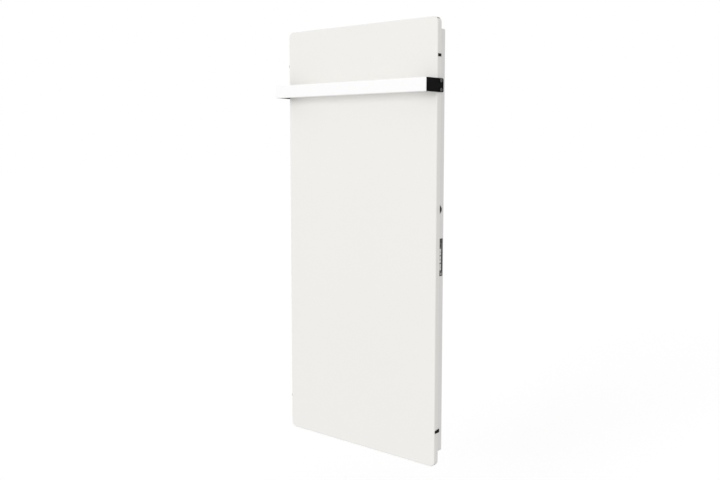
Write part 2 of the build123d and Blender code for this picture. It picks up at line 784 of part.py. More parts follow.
for place, side in (("left", -1), ("right", 1)):
    # Threaded block inside the bar's end
    insert_mid_x = side * (bar_length / 2 - insert_length / 2)
    with BuildPart() as bar_insert:
        with BuildSketch(facing_front(bar_rear_y - bar_wall - insert_clearance)):
            with Locations((insert_mid_x, bar_mid_z)):
                Rectangle(insert_length, bar_height - 2 * bar_wall - 2 * insert_clearance)
            with Locations(*[spot for spot in bar_screw_places if spot[0] * side > 0]):
                Circle(screw_radius + thread_clearance, mode=Mode.SUBTRACT)
        extrude(amount=bar_depth - 2 * bar_wall - 2 * insert_clearance)
    bar_insert.part.label = f"bar_insert_{place}"
    export_step(bar_insert.part, f"parts/bar_insert_{place}.step")

    # Flat arm along the panel's side, with a tab welded inside that takes the bar from behind
    arm_length = panel_front_y + arm_behind_front - arm_front_y
    with BuildPart() as bar_arm:
        with BuildSketch(facing_right(side * (arm_inner_x + arm_thickness / 2))):
            with Locations((arm_front_y + arm_length / 2, bar_mid_z)):
                RectangleRounded(arm_length, bar_height, arm_corner_radius)
            with Locations(*arm_screw_places):
                Circle(screw_radius + hole_clearance, mode=Mode.SUBTRACT)
        extrude(amount=arm_thickness / 2, both=True)
        arm_rims = [face.outer_wire() for face in bar_arm.faces().filter_by(Axis.X)]
        fillet([edge for rim in arm_rims for edge in rim.edges()], arm_edge_radius)
        with BuildSketch(facing_front(tab_rear_y)):
            with Locations((side * (arm_inner_x - arm_tab_length / 2 + arm_thickness / 4), bar_mid_z)):
                Rectangle(arm_tab_length + arm_thickness / 2, arm_tab_height)
            with Locations(*[spot for spot in bar_screw_places if spot[0] * side > 0]):
                Circle(screw_radius + hole_clearance, mode=Mode.SUBTRACT)
        extrude(amount=arm_thickness)
    bar_arm.part.label = f"bar_bracket_{place}"
    export_step(bar_arm.part, f"parts/bar_bracket_{place}.step")

    # Threaded plate behind the casing's side wall
    plate_outer_x = casing_inner_x - arm_gap
    with BuildPart() as nut_plate:
        with BuildSketch(facing_right(side * (plate_outer_x - nut_plate_thickness / 2))):
            with Locations((arm_screw_y, bar_mid_z)):
                Rectangle(nut_plate_depth, nut_plate_height)
            with Locations(*arm_screw_places):
                Circle(screw_radius + thread_clearance, mode=Mode.SUBTRACT)
        extrude(amount=nut_plate_thickness / 2, both=True)
    nut_plate.part.label = f"nut_plate_{place}"
    export_step(nut_plate.part, f"parts/nut_plate_{place}.step")

# Eight alike screws with hexagon sockets: four in the panel's sides and four behind the bar
with BuildPart() as bar_screws:
    for side in (-1, 1):
        for reach, radius in ((screw_head_height, screw_head_radius), (-screw_length, screw_radius)):
            with BuildSketch(facing_right(side * arm_outer_x)):
                with Locations(*arm_screw_places):
                    Circle(radius)
            extrude(amount=side * reach)
        side_rims = bar_screws.faces().filter_by(Axis.X).sort_by(Axis.X)
        outer_faces = side_rims[-2:] if side > 0 else side_rims[:2]
        fillet(outer_faces.edges(), screw_head_height / 2)
        with BuildSketch(facing_right(side * (arm_outer_x + screw_head_height))):
            with Locations(*arm_screw_places):
                RegularPolygon(hex_radius(screw_socket_flats), 6)
        extrude(amount=-side * screw_socket_depth, mode=Mode.SUBTRACT)
    for reach, radius in ((-screw_head_height, screw_head_radius), (screw_length, screw_radius)):
        with BuildSketch(facing_front(tab_rear_y)):
            with Locations(*bar_screw_places):
                Circle(radius)
        extrude(amount=reach)
    rear_faces = bar_screws.faces().filter_by(Axis.Y).filter_by(
        lambda face: abs(face.center().Y - tab_rear_y - screw_head_height) < thread_clearance
    )
    fillet(rear_faces.edges(), screw_head_height / 2)
    with BuildSketch(facing_front(tab_rear_y + screw_head_height)):
        with Locations(*bar_screw_places):
            RegularPolygon(hex_radius(screw_socket_flats), 6)
    extrude(amount=screw_socket_depth, mode=Mode.SUBTRACT)

bar_screws.part.label = "bar_screws"
export_step(bar_screws.part, "parts/bar_screws.step")

# ---------------------------------------------------------------- control strip

lens_seat_x = fascia_face_x - lens_thickness
display_z = strip_mid_z + display_rise
guide_y = strip_mid_y + guide_offset
guide_z = strip_mid_z + guide_rise
key_y = strip_mid_y + key_offset
receiver_z = strip_mid_z + receiver_rise
power_z = strip_mid_z + power_key_rise
keys = {
    "up": (key_y, strip_mid_z + key_rise + key_pitch, key_width, key_height),
    "mode": (key_y, strip_mid_z + key_rise, key_width, key_height),
    "down": (key_y, strip_mid_z + key_rise - key_pitch, key_width, key_height),
    "power": (strip_mid_y, power_z, power_key_width, power_key_height),
}

with BuildPart() as control_fascia:
    # Flange behind the casing's side, and the plug that fills the opening
    with BuildSketch(facing_right(fascia_rear_x)):
        with Locations((strip_mid_y, strip_mid_z)):
            RectangleRounded(
                strip_width + 2 * fascia_flange_margin,
                strip_height + 2 * fascia_flange_margin,
                strip_corner_radius,
            )
    extrude(amount=fascia_flange)
    with BuildSketch(facing_right(fascia_rear_x)):
        with Locations((strip_mid_y, strip_mid_z)):
            RectangleRounded(
                strip_width - 2 * strip_clearance,
                strip_height - 2 * strip_clearance,
                strip_corner_radius - strip_clearance,
            )
    extrude(amount=fascia_face_x - fascia_rear_x)
    # Key openings
    with BuildSketch(facing_right(fascia_rear_x)):
        for mid_y, mid_z, width, height in keys.values():
            with Locations((mid_y, mid_z)):
                Rectangle(width + 2 * key_clearance, height + 2 * key_clearance)
    extrude(amount=fascia_face_x - fascia_rear_x, mode=Mode.SUBTRACT)
    # Seats for the lenses, and the openings behind them
    with BuildSketch(facing_right(lens_seat_x)):
        with Locations((strip_mid_y, display_z)):
            Rectangle(display_width, display_height)
        with Locations((key_y, receiver_z)):
            Rectangle(receiver_width, receiver_height)
        with Locations((guide_y, guide_z)):
            Rectangle(guide_width, guide_height)
    extrude(amount=lens_thickness, mode=Mode.SUBTRACT)
    with BuildSketch(facing_right(fascia_rear_x)):
        with Locations((strip_mid_y, display_z)):
            Rectangle(display_width - 2 * lens_ledge, display_height - 2 * lens_ledge)
        with Locations((key_y, receiver_z)):
            Rectangle(receiver_width - 2 * lens_ledge, receiver_height - 2 * lens_ledge)
        with Locations((guide_y, guide_z)):
            Rectangle(guide_width - 2 * lens_ledge, guide_height - 2 * lens_ledge)
    extrude(amount=lens_seat_x - fascia_rear_x, mode=Mode.SUBTRACT)

control_fascia.part.label = "control_fascia"
export_step(control_fascia.part, "parts/control_fascia.step")

with BuildPart() as display_lens:
    with BuildSketch(facing_right(lens_seat_x)):
        with Locations((strip_mid_y, display_z)):
            Rectangle(display_width - 2 * lens_clearance, display_height - 2 * lens_clearance)
    extrude(amount=lens_thickness)
    fillet(display_lens.edges().filter_by(Axis.X), lens_corner_radius)

display_lens.part.label = "display_lens"
export_step(display_lens.part, "parts/display_lens.step")

with BuildPart() as receiver_lens:
    with BuildSketch(facing_right(lens_seat_x)):
        with Locations((key_y, receiver_z)):
            Rectangle(receiver_width - 2 * lens_clearance, receiver_height - 2 * lens_clearance)
    extrude(amount=lens_thickness)
    fillet(receiver_lens.edges().filter_by(Axis.X), lens_corner_radius)

receiver_lens.part.label = "receiver_lens"
export_step(receiver_lens.part, "parts/receiver_lens.step")

# Level bar: a lens with a blade behind it that brings the light from the board
guide_foot_x = board_face_x + led_height + strip_clearance
guide_stem_height = guide_height - 2 * lens_ledge - 2 * lens_clearance
with BuildPart() as level_light_guide:
    with BuildSketch(facing_right(lens_seat_x)):
        with Locations((guide_y, guide_z)):
            Rectangle(guide_width - 2 * lens_clearance, guide_height - 2 * lens_clearance)
    extrude(amount=lens_thickness)
    with BuildSketch(facing_right(guide_foot_x)):
        with Locations((guide_y, guide_z)):
            Rectangle(guide_stem_width, guide_stem_height)
    extrude(amount=lens_seat_x - guide_foot_x)

level_light_guide.part.label = "level_light_guide"
export_step(level_light_guide.part, "parts/level_light_guide.step")

key_flange_x = fascia_rear_x - key_stop_gap - key_flange_thickness
key_stem_foot_x = switch_top_x + key_travel + key_stop_gap
for name, (mid_y, mid_z, width, height) in keys.items():
    with BuildPart() as button:
        with BuildSketch(facing_right(key_flange_x)):
            with Locations((mid_y, mid_z)):
                Rectangle(width, height)
        extrude(amount=fascia_face_x + key_proud - key_flange_x)
        fillet(button.faces().sort_by(Axis.X)[-1].edges(), key_edge_radius)
        with BuildSketch(facing_right(key_flange_x)):
            with Locations((mid_y, mid_z)):
                Rectangle(width + 2 * key_flange, height + 2 * key_flange)
        extrude(amount=key_flange_thickness)
        with BuildSketch(facing_right(key_stem_foot_x)):
            with Locations((mid_y, mid_z)):
                Circle(key_stem_radius)
        extrude(amount=key_flange_x - key_stem_foot_x)
    button.part.label = f"button_{name}"
    export_step(button.part, f"parts/button_{name}.step")

# ---------------------------------------------------------------- setting wheel

wheel_front_y = wheel_mid_y - wheel_thickness / 2
wheel_rear_y = wheel_mid_y + wheel_thickness / 2
shaft_rear_y = wheel_front_y + wheel_shaft_length
flat_centre_x = wheel_axis_x + wheel_shaft_flat + wheel_shaft_radius

with BuildPart() as setting_wheel:
    with BuildSketch(facing_front(wheel_rear_y)):
        with Locations((wheel_axis_x, wheel_mid_z)):
            Circle(wheel_radius)
            with PolarLocations(wheel_radius, wheel_grooves):
                Circle(wheel_groove_radius, mode=Mode.SUBTRACT)
            Circle(wheel_shaft_radius + shaft_clearance, mode=Mode.SUBTRACT)
        # The bore's flat
        with Locations((flat_centre_x + shaft_clearance, wheel_mid_z)):
            Rectangle(2 * wheel_shaft_radius, 2 * wheel_shaft_radius)
    extrude(amount=wheel_thickness)
    # Shallow dish in the front face
    with BuildSketch(facing_front(wheel_front_y + wheel_dish_depth)):
        with Locations((wheel_axis_x, wheel_mid_z)):
            Circle(wheel_dish_radius)
    extrude(amount=wheel_dish_depth, mode=Mode.SUBTRACT)

setting_wheel.part.label = "setting_wheel"
export_step(setting_wheel.part, "parts/setting_wheel.step")

with BuildPart() as wheel_shaft:
    with BuildSketch(facing_front(shaft_rear_y)):
        with Locations((wheel_axis_x, wheel_mid_z)):
            Circle(wheel_shaft_radius)
    extrude(amount=wheel_shaft_length)
    # Flat along the stretch that the wheel sits on
    with BuildSketch(facing_front(wheel_rear_y)):
        with Locations((flat_centre_x, wheel_mid_z)):
            Rectangle(2 * wheel_shaft_radius, 3 * wheel_shaft_radius)
    extrude(amount=wheel_thickness, mode=Mode.SUBTRACT)

wheel_shaft.part.label = "wheel_shaft"
export_step(wheel_shaft.part, "parts/wheel_shaft.step")

pot_front_y = wheel_rear_y + pot_gap
pot_bore_depth = shaft_rear_y - pot_front_y + key_stop_gap
pot_outer_x = housing_mouth_x - strip_clearance
with BuildPart() as wheel_potentiometer:
    with BuildSketch(facing_front(pot_front_y + pot_depth)):
        with Locations(((board_face_x + pot_outer_x) / 2, wheel_mid_z)):
            Rectangle(pot_outer_x - board_face_x, pot_height)
    extrude(amount=pot_depth)
    fillet(wheel_potentiometer.edges().filter_by(Axis.Y).group_by(Axis.X)[-1], strip_corner_radius)
    with BuildSketch(facing_front(pot_front_y + pot_bore_depth)):
        with Locations((wheel_axis_x, wheel_mid_z)):
            Circle(wheel_shaft_radius + shaft_clearance)
    extrude(amount=pot_bore_depth, mode=Mode.SUBTRACT)

wheel_potentiometer.part.label = "wheel_potentiometer"
export_step(wheel_potentiometer.part, "parts/wheel_potentiometer.step")

# ---------------------------------------------------------------- control housing

housing_mid_y = (housing_front_y + housing_rear_y) / 2
housing_mid_z = (housing_foot_z + housing_top_z) / 2
housing_depth = housing_rear_y - housing_front_y
housing_height = housing_top_z - housing_foot_z
hollow_depth = housing_depth - 2 * housing_wall
hollow_height = housing_height - 2 * housing_wall
lead_entry_x = housing_inner_x + housing_wall + lead_entry_width / 2 + lead_entry_margin

with BuildPart() as control_housing:
    with BuildSketch(facing_right(housing_inner_x)):
        with Locations((housing_mid_y, housing_mid_z)):
            Rectangle(housing_depth, housing_height)
    extrude(amount=housing_mouth_x - housing_inner_x)
    # Rounded to lie in the casing's rear fold
    mouth_edges = control_housing.edges().filter_by(Axis.Z).group_by(Axis.X)[-1]
    fillet(mouth_edges.sort_by(Axis.Y)[-1], casing_edge_radius - casing_sheet)
    with BuildSketch(facing_right(housing_inner_x + housing_wall)):
        with Locations((housing_mid_y, housing_mid_z)):
            Rectangle(hollow_depth, hollow_height)
    extrude(amount=housing_mouth_x - housing_inner_x - housing_wall, mode=Mode.SUBTRACT)
    # Two rails that carry the board's long edges
    rail_y = hollow_depth / 2 - rail_width / 2
    with BuildSketch(facing_right(control_board_x - control_board_gap - rail_width)):
        with Locations((housing_mid_y - rail_y, housing_mid_z), (housing_mid_y + rail_y, housing_mid_z)):
            Rectangle(rail_width, hollow_height)
    extrude(amount=rail_width)
    # Screw ears at both ends, against the casing's rear sheet
    with BuildSketch(facing_front(housing_rear_y)):
        with Locations(*ear_places):
            Rectangle(control_board_x - housing_inner_x, housing_ear)
            Circle(casing_screw_radius, mode=Mode.SUBTRACT)
    extrude(amount=housing_ear_depth)
    # Lead entries in both end walls
    with BuildSketch(facing_up(housing_mid_z)):
        with Locations((lead_entry_x, housing_mid_y - housing_ear_depth / 2)):
            Rectangle(lead_entry_width, lead_entry_depth - housing_ear_depth / 2)
    extrude(amount=housing_height, both=True, mode=Mode.SUBTRACT)

control_housing.part.label = "control_housing"
export_step(control_housing.part, "parts/control_housing.step")

# Self-tapping screws from behind, for the housing's ears and the terminal block
with BuildPart() as casing_screws:
    for reach, radius in (
        (-screw_head_height, screw_head_radius),
        (casing_screw_length, casing_screw_radius),
    ):
        with BuildSketch(facing_front(casing_rear_y)):
            with Locations(*ear_places, *terminal_screw_places):
                Circle(radius)
        extrude(amount=reach)
    with BuildSketch(facing_front(casing_rear_y + screw_head_height)):
        with Locations(*ear_places, *terminal_screw_places):
            RegularPolygon(hex_radius(screw_socket_flats), 6)
    extrude(amount=screw_socket_depth, mode=Mode.SUBTRACT)

casing_screws.part.label = "casing_screws"
export_step(casing_screws.part, "parts/casing_screws.step")

# ---------------------------------------------------------------- control board and its components

board_mid_y = housing_mid_y
board_depth = hollow_depth - 2 * control_board_gap
board_height = hollow_height - 2 * control_board_gap

with BuildPart() as control_board:
    with BuildSketch(facing_right(control_board_x)):
        with Locations((board_mid_y, housing_mid_z)):
            Rectangle(board_depth, board_height)
    extrude(amount=control_board_thickness)

control_board.part.label = "control_board"
export_step(control_board.part, "parts/control_board.step")

module_margin = lens_ledge + strip_clearance
module_top_z = display_z + display_height / 2 - module_margin
module_foot_z = receiver_z - receiver_height / 2 + module_margin
with BuildPart() as display_module:
    # A base on the board, and the display and the receiver that stand up from it
    with BuildSketch(facing_right(board_face_x)):
        with Locations((strip_mid_y, (module_top_z + module_foot_z) / 2)):
            Rectangle(display_width - 2 * module_margin, module_top_z - module_foot_z)
    extrude(amount=module_base)
    with BuildSketch(facing_right(board_face_x)):
        with Locations((strip_mid_y, display_z)):
            Rectangle(display_width - 2 * module_margin, display_height - 2 * module_margin)
        with Locations((key_y, receiver_z)):
            Rectangle(receiver_width - 2 * module_margin, receiver_height - 2 * module_margin)
    extrude(amount=lens_seat_x - strip_clearance - board_face_x)

display_module.part.label = "display_module"
export_step(display_module.part, "parts/display_module.step")

with BuildPart() as key_switches:
    key_centres = [(mid_y, mid_z) for mid_y, mid_z, width, height in keys.values()]
    with BuildSketch(facing_right(board_face_x)):
        with Locations(*key_centres):
            Rectangle(switch_side, switch_side)
    extrude(amount=switch_height)
    with BuildSketch(facing_right(board_face_x + switch_height)):
        with Locations(*key_centres):
            Circle(switch_stem_radius)
    extrude(amount=switch_stem_height)

key_switches.part.label = "key_switches"
export_step(key_switches.part, "parts/key_switches.step")

with BuildPart() as level_leds:
    with BuildSketch(facing_right(board_face_x)):
        with Locations((guide_y, guide_z)):
            with GridLocations(0, led_pitch, 1, led_count):
                Rectangle(led_height, 2 * led_height)
    extrude(amount=led_height)

level_leds.part.label = "level_leds"
export_step(level_leds.part, "parts/level_leds.step")

for name, size, rise in (
    ("power_relay", relay_size, relay_rise),
    ("supply_transformer", transformer_size, transformer_rise),
):
    with BuildPart() as component:
        with BuildSketch(facing_right(control_board_x)):
            with Locations((board_mid_y, panel_mid_z + rise)):
                Rectangle(size[1], size[2])
        extrude(amount=-size[0])
        fillet(component.edges().filter_by(Axis.X), key_edge_radius)
    component.part.label = name
    export_step(component.part, f"parts/{name}.step")

with BuildPart() as supply_capacitor:
    with BuildSketch(facing_right(control_board_x)):
        with Locations((board_mid_y, panel_mid_z + capacitor_rise)):
            Circle(capacitor_radius)
    extrude(amount=-capacitor_length)
    fillet(supply_capacitor.faces().sort_by(Axis.X)[0].edges(), key_edge_radius)

supply_capacitor.part.label = "supply_capacitor"
export_step(supply_capacitor.part, "parts/supply_capacitor.step")

# One terminal block at each end of the board; the leads enter through the housing's end walls
terminal_reach, terminal_width, block_height = board_terminal_size
lower_block_foot_z = housing_foot_z + housing_wall + board_terminal_inset
upper_block_top_z = housing_top_z - housing_wall - board_terminal_inset
entry_mid_y = housing_mid_y - housing_ear_depth / 2

with BuildPart() as board_terminals:
    with BuildSketch(facing_right(control_board_x)):
        with Locations(
            (entry_mid_y, lower_block_foot_z + block_height / 2),
            (entry_mid_y, upper_block_top_z - block_height / 2),
        ):
            Rectangle(terminal_width, block_height)
    extrude(amount=-terminal_reach)
    fillet(board_terminals.edges().filter_by(Axis.X), key_edge_radius)

board_terminals.part.label = "board_terminals"
export_step(board_terminals.part, "parts/board_terminals.step")

# ---------------------------------------------------------------- mains terminals and earth point

pole_places = [terminal_x - terminal_pole_pitch, terminal_x, terminal_x + terminal_pole_pitch]
terminal_front_y = casing_inner_y - terminal_depth
supply_lead_y = behind_front(supply_lead_depth)

with BuildPart() as terminal_block:
    with BuildSketch(facing_front(casing_inner_y)):
        with Locations((terminal_x, terminal_z)):
            RectangleRounded(terminal_base_width, terminal_height, terminal_foot)
        with Locations(*terminal_screw_places):
            Circle(casing_screw_radius, mode=Mode.SUBTRACT)
    extrude(amount=terminal_foot)
    with BuildSketch(facing_front(casing_inner_y)):
        with Locations((terminal_x, terminal_z)):
            Rectangle(3 * terminal_pole_pitch, terminal_height)
    extrude(amount=terminal_depth)
    # Blind wire entries in both ends of each pole, and the screw wells in front of them
    for end in (-1, 1):
        with BuildSketch(facing_up(terminal_z + end * terminal_height / 2)):
            with Locations(*[(x, supply_lead_y) for x in pole_places]):
                Circle(pole_bore_radius)
        extrude(amount=-end * pole_bore_depth, mode=Mode.SUBTRACT)
    with BuildSketch(facing_front(terminal_front_y)):
        with Locations((terminal_x, terminal_z)):
            with GridLocations(terminal_pole_pitch, terminal_height / 2, 3, 2):
                Circle(pole_bore_radius)
    extrude(amount=-pole_well_depth, mode=Mode.SUBTRACT)

terminal_block.part.label = "terminal_block"
export_step(terminal_block.part, "parts/terminal_block.step")

# Earth screw through the rear sheet, with the ring lug and the nut inside
lug_front_y = casing_inner_y - earth_lug_sheet
lug_lead_y = casing_inner_y - lead_radius
lug_lead_z = terminal_z + earth_lug_reach

# Alike nuts on the tray's studs and on the earth screw
with BuildPart() as steel_nuts:
    for rear_y, places in ((nut_rear_y, stud_places), (lug_front_y, [(earth_x, terminal_z)])):
        with BuildSketch(facing_front(rear_y)):
            with Locations(*places):
                RegularPolygon(hex_radius(nut_flats), 6)
                Circle(stud_radius + thread_clearance, mode=Mode.SUBTRACT)
        extrude(amount=nut_thickness)

steel_nuts.part.label = "steel_nuts"
export_step(steel_nuts.part, "parts/steel_nuts.step")

with BuildPart() as earth_stud:
    for reach, radius in ((-screw_head_height, screw_head_radius), (earth_stud_length, screw_radius)):
        with BuildSketch(facing_front(casing_rear_y)):
            with Locations((earth_x, terminal_z)):
                Circle(radius)
        extrude(amount=reach)

earth_stud.part.label = "earth_stud"
export_step(earth_stud.part, "parts/earth_stud.step")

# ---------------------------------------------------------------- inlet gland

gland_flange_z = casing_foot_z - gland_flange
gland_neck_z = gland_flange_z - gland_neck_length
gland_tail_z = casing_foot_z + casing_sheet + gland_tail

with BuildPart() as cord_gland:
    # Hexagon below the casing, thread up through the hole, neck down inside the cap
    with BuildSketch(facing_up(gland_flange_z)):
        with Locations((gland_x, gland_y)):
            RegularPolygon(hex_radius(gland_flats), 6)
    extrude(amount=gland_flange)
    with BuildSketch(facing_up(gland_neck_z)):
        with Locations((gland_x, gland_y)):
            Circle(gland_neck_radius)
    extrude(amount=gland_neck_length)
    with BuildSketch(facing_up(casing_foot_z)):
        with Locations((gland_x, gland_y)):
            Circle(gland_thread_radius)
    extrude(amount=gland_tail_z - casing_foot_z)
    with BuildSketch(facing_up(gland_neck_z)):
        with Locations((gland_x, gland_y)):
            Circle(gland_bore_radius)
    extrude(amount=gland_tail_z - gland_neck_z, mode=Mode.SUBTRACT)

cord_gland.part.label = "cord_gland"
export_step(cord_gland.part, "parts/cord_gland.step")

cap_top_z = gland_flange_z - gland_cap_gap
with BuildPart() as gland_cap:
    with BuildSketch(facing_up(cap_top_z - gland_cap_length)):
        with Locations((gland_x, gland_y)):
            RegularPolygon(hex_radius(gland_flats), 6)
    extrude(amount=gland_cap_length)
    chamfer(gland_cap.faces().sort_by(Axis.Z)[0].edges(), gland_cap_chamfer)
    with BuildSketch(facing_up(cap_top_z)):
        with Locations((gland_x, gland_y)):
            Circle(gland_neck_radius + thread_clearance)
    extrude(amount=-(gland_neck_length + gland_cap_gap), mode=Mode.SUBTRACT)
    with BuildSketch(facing_up(cap_top_z - gland_cap_length)):
        with Locations((gland_x, gland_y)):
            Circle(gland_bore_radius + gland_cap_gap)
    extrude(amount=gland_cap_length, mode=Mode.SUBTRACT)

gland_cap.part.label = "gland_cap"
export_step(gland_cap.part, "parts/gland_cap.step")

with BuildPart() as gland_nut:
    with BuildSketch(facing_up(casing_foot_z + casing_sheet)):
        with Locations((gland_x, gland_y)):
            RegularPolygon(hex_radius(gland_flats), 6)
            Circle(gland_thread_radius + thread_clearance, mode=Mode.SUBTRACT)
    extrude(amount=gland_nut_thickness)

gland_nut.part.label = "gland_nut"
export_step(gland_nut.part, "parts/gland_nut.step")

# ---------------------------------------------------------------- room sensor

holder_foot_z = casing_foot_z - holder_collar
holder_top_z = casing_foot_z + holder_length

with BuildPart() as sensor_holder:
    with BuildSketch(facing_up(holder_foot_z)):
        with Locations((sensor_x, sensor_y)):
            Circle(holder_radius + holder_collar)
    extrude(amount=holder_collar)
    with BuildSketch(facing_up(casing_foot_z)):
        with Locations((sensor_x, sensor_y)):
            Circle(holder_radius)
    extrude(amount=holder_length)
    with BuildSketch(facing_up(holder_foot_z)):
        with Locations((sensor_x, sensor_y)):
            Circle(sensor_radius + hole_clearance)
    extrude(amount=holder_length + holder_collar, mode=Mode.SUBTRACT)

sensor_holder.part.label = "sensor_holder"
export_step(sensor_holder.part, "parts/sensor_holder.step")

with BuildPart() as room_sensor:
    with BuildSketch(facing_up(holder_foot_z - sensor_reach)):
        with Locations((sensor_x, sensor_y)):
            Circle(sensor_radius)
    extrude(amount=holder_top_z - holder_foot_z + sensor_reach)
    fillet(room_sensor.faces().sort_by(Axis.Z)[0].edges(), sensor_tip_radius)

room_sensor.part.label = "room_sensor"
export_step(room_sensor.part, "parts/room_sensor.step")

# ---------------------------------------------------------------- overheat cut-out

cutout_x = element_width / 2 - cutout_from_element_side
cutout_z = clamp_bar_places["top"] - cutout_below_clamp_bar
lead_y = behind_front(lead_depth)

with BuildPart() as overheat_cutout:
    with BuildSketch(facing_front(backing_rear_y + cutout_flange)):
        with Locations((cutout_x, cutout_z)):
            Circle(cutout_flange_radius)
    extrude(amount=cutout_flange)
    with BuildSketch(facing_front(backing_rear_y + cutout_height)):
        with Locations((cutout_x, cutout_z)):
            Circle(cutout_radius)
    extrude(amount=cutout_height)
    # Two blade terminals that stand out sideways
    with BuildSketch(facing_front(lead_y + blade_thickness / 2)):
        with Locations((cutout_x, cutout_z)):
            Rectangle(2 * blade_length, blade_width)
    extrude(amount=blade_thickness)

overheat_cutout.part.label = "overheat_cutout"
export_step(overheat_cutout.part, "parts/overheat_cutout.step")

# Its clamp runs upright, clear of the blades, and its two feet are welded to the backing plate
clamp_face_y = backing_rear_y + cutout_flange + clip_gap
with BuildPart() as cutout_clamp:
    with BuildSketch(facing_front(clamp_face_y + cutout_clamp_sheet)):
        with Locations((cutout_x, cutout_z)):
            Rectangle(cutout_clamp_width, cutout_clamp_length)
            Circle(cutout_radius + hole_clearance, mode=Mode.SUBTRACT)
    extrude(amount=cutout_clamp_sheet)
    with BuildSketch(facing_front(clamp_face_y + cutout_clamp_sheet)):
        foot_offset = cutout_clamp_length / 2 - cutout_clamp_foot / 2
        with Locations((cutout_x, cutout_z - foot_offset), (cutout_x, cutout_z + foot_offset)):
            Rectangle(cutout_clamp_width, cutout_clamp_foot)
    extrude(amount=clamp_face_y + cutout_clamp_sheet - backing_rear_y)

cutout_clamp.part.label = "cutout_clamp"
export_step(cutout_clamp.part, "parts/cutout_clamp.step")

# ---------------------------------------------------------------- leads

entry_front_y = behind_front(entry_front_depth)
entry_rear_y = behind_front(entry_rear_depth)
below_housing_z = housing_foot_z - entry_run
above_housing_z = housing_top_z + entry_run
track_lead_z = tab_foot_z + tab_lead_rise
track_tab_x = -first_leg_x
terminal_top_z = terminal_z + terminal_height / 2
forward_z = terminal_top_z + supply_lead_rise
cutout_lead_x = board_right - 2 * lead_bend
lead_routes = {
    "element_leads": [
        [
            (track_tab_x, track_rear_y, track_lead_z),
            (track_tab_x, lead_y, track_lead_z),
            (track_tab_x, lead_y, below_housing_z - lead_slant),
            (lead_entry_x - entry_pitch / 2, entry_front_y, below_housing_z),
            (lead_entry_x - entry_pitch / 2, entry_front_y, lower_block_foot_z),
        ],
        [
            (-track_tab_x, track_rear_y, track_lead_z),
            (-track_tab_x, lead_y, track_lead_z),
            (-track_tab_x, lead_y, cutout_z),
            (cutout_x - blade_length, lead_y, cutout_z),
        ],
        [
            (cutout_x + blade_length, lead_y, cutout_z),
            (cutout_lead_x, lead_y, cutout_z),
            (cutout_lead_x, lead_y, above_housing_z + lead_slant),
            (lead_entry_x, entry_rear_y, above_housing_z),
            (lead_entry_x, entry_rear_y, upper_block_top_z),
        ],
    ],
    "supply_leads": [
        [
            (pole_x, supply_lead_y, terminal_top_z),
            (pole_x, supply_lead_y, forward_z),
            (run_x, entry_rear_y, forward_z + supply_lead_slant),
            (run_x, entry_rear_y, below_housing_z - lead_slant),
            (entry_x, entry_rear_y, below_housing_z),
            (entry_x, entry_rear_y, lower_block_foot_z),
        ]
        for pole_x, run_x, entry_x in (
            (pole_places[1], terminal_x + terminal_pole_pitch / 2, lead_entry_x - entry_pitch),
            (pole_places[2], terminal_x + terminal_pole_pitch, lead_entry_x),
        )
    ],
    "sensor_lead": [
        [
            (sensor_x, sensor_y, holder_top_z),
            (sensor_x, sensor_y, below_housing_z - lead_slant),
            (lead_entry_x + entry_pitch, entry_rear_y, below_housing_z),
            (lead_entry_x + entry_pitch, entry_rear_y, lower_block_foot_z),
        ]
    ],
    "earth_lead": [
        [
            (pole_places[0], supply_lead_y, terminal_top_z),
            (pole_places[0], supply_lead_y, terminal_top_z + earth_lead_rise),
            (earth_x, lug_lead_y, terminal_top_z + earth_lead_rise),
            (earth_x, lug_lead_y, lug_lead_z),
        ]
    ],
}

for name, routes in lead_routes.items():
    with BuildPart() as leads:
        for route in routes:
            with BuildLine():
                path = FilletPolyline(*route, radius=lead_bend)
            with BuildSketch(Plane(origin=path @ 0, z_dir=path % 0)):
                Circle(lead_radius)
            sweep(path=path)
            print(name, "length", round(path.length))
        if name == "earth_lead":
            # Its ring lug, under the nut on the earth screw
            with BuildSketch(facing_front(casing_inner_y)):
                with Locations((earth_x, terminal_z)):
                    Circle(earth_lug_radius)
                with Locations((earth_x, terminal_z + earth_lug_reach / 2)):
                    Rectangle(2 * lead_radius, earth_lug_reach)
                with Locations((earth_x, terminal_z)):
                    Circle(screw_radius + hole_clearance, mode=Mode.SUBTRACT)
            extrude(amount=earth_lug_sheet)
    leads.part.label = name
    export_step(leads.part, f"parts/{name}.step")
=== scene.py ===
# %% [markdown]
# # A slim wall heater with a towel bar
# The heater is a flat pressed-steel panel with a shallow folded casing behind it. A flat white towel bar
# stands in front on two black arms, and a thumbwheel and a strip of keys sit in its right side.
# The solids come ready-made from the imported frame. This notebook gives each of them its finish, adds the
# moulded, printed and welded details that the solids leave out, and then lights and frames the heater.

# %% Load the frame
import json
import math

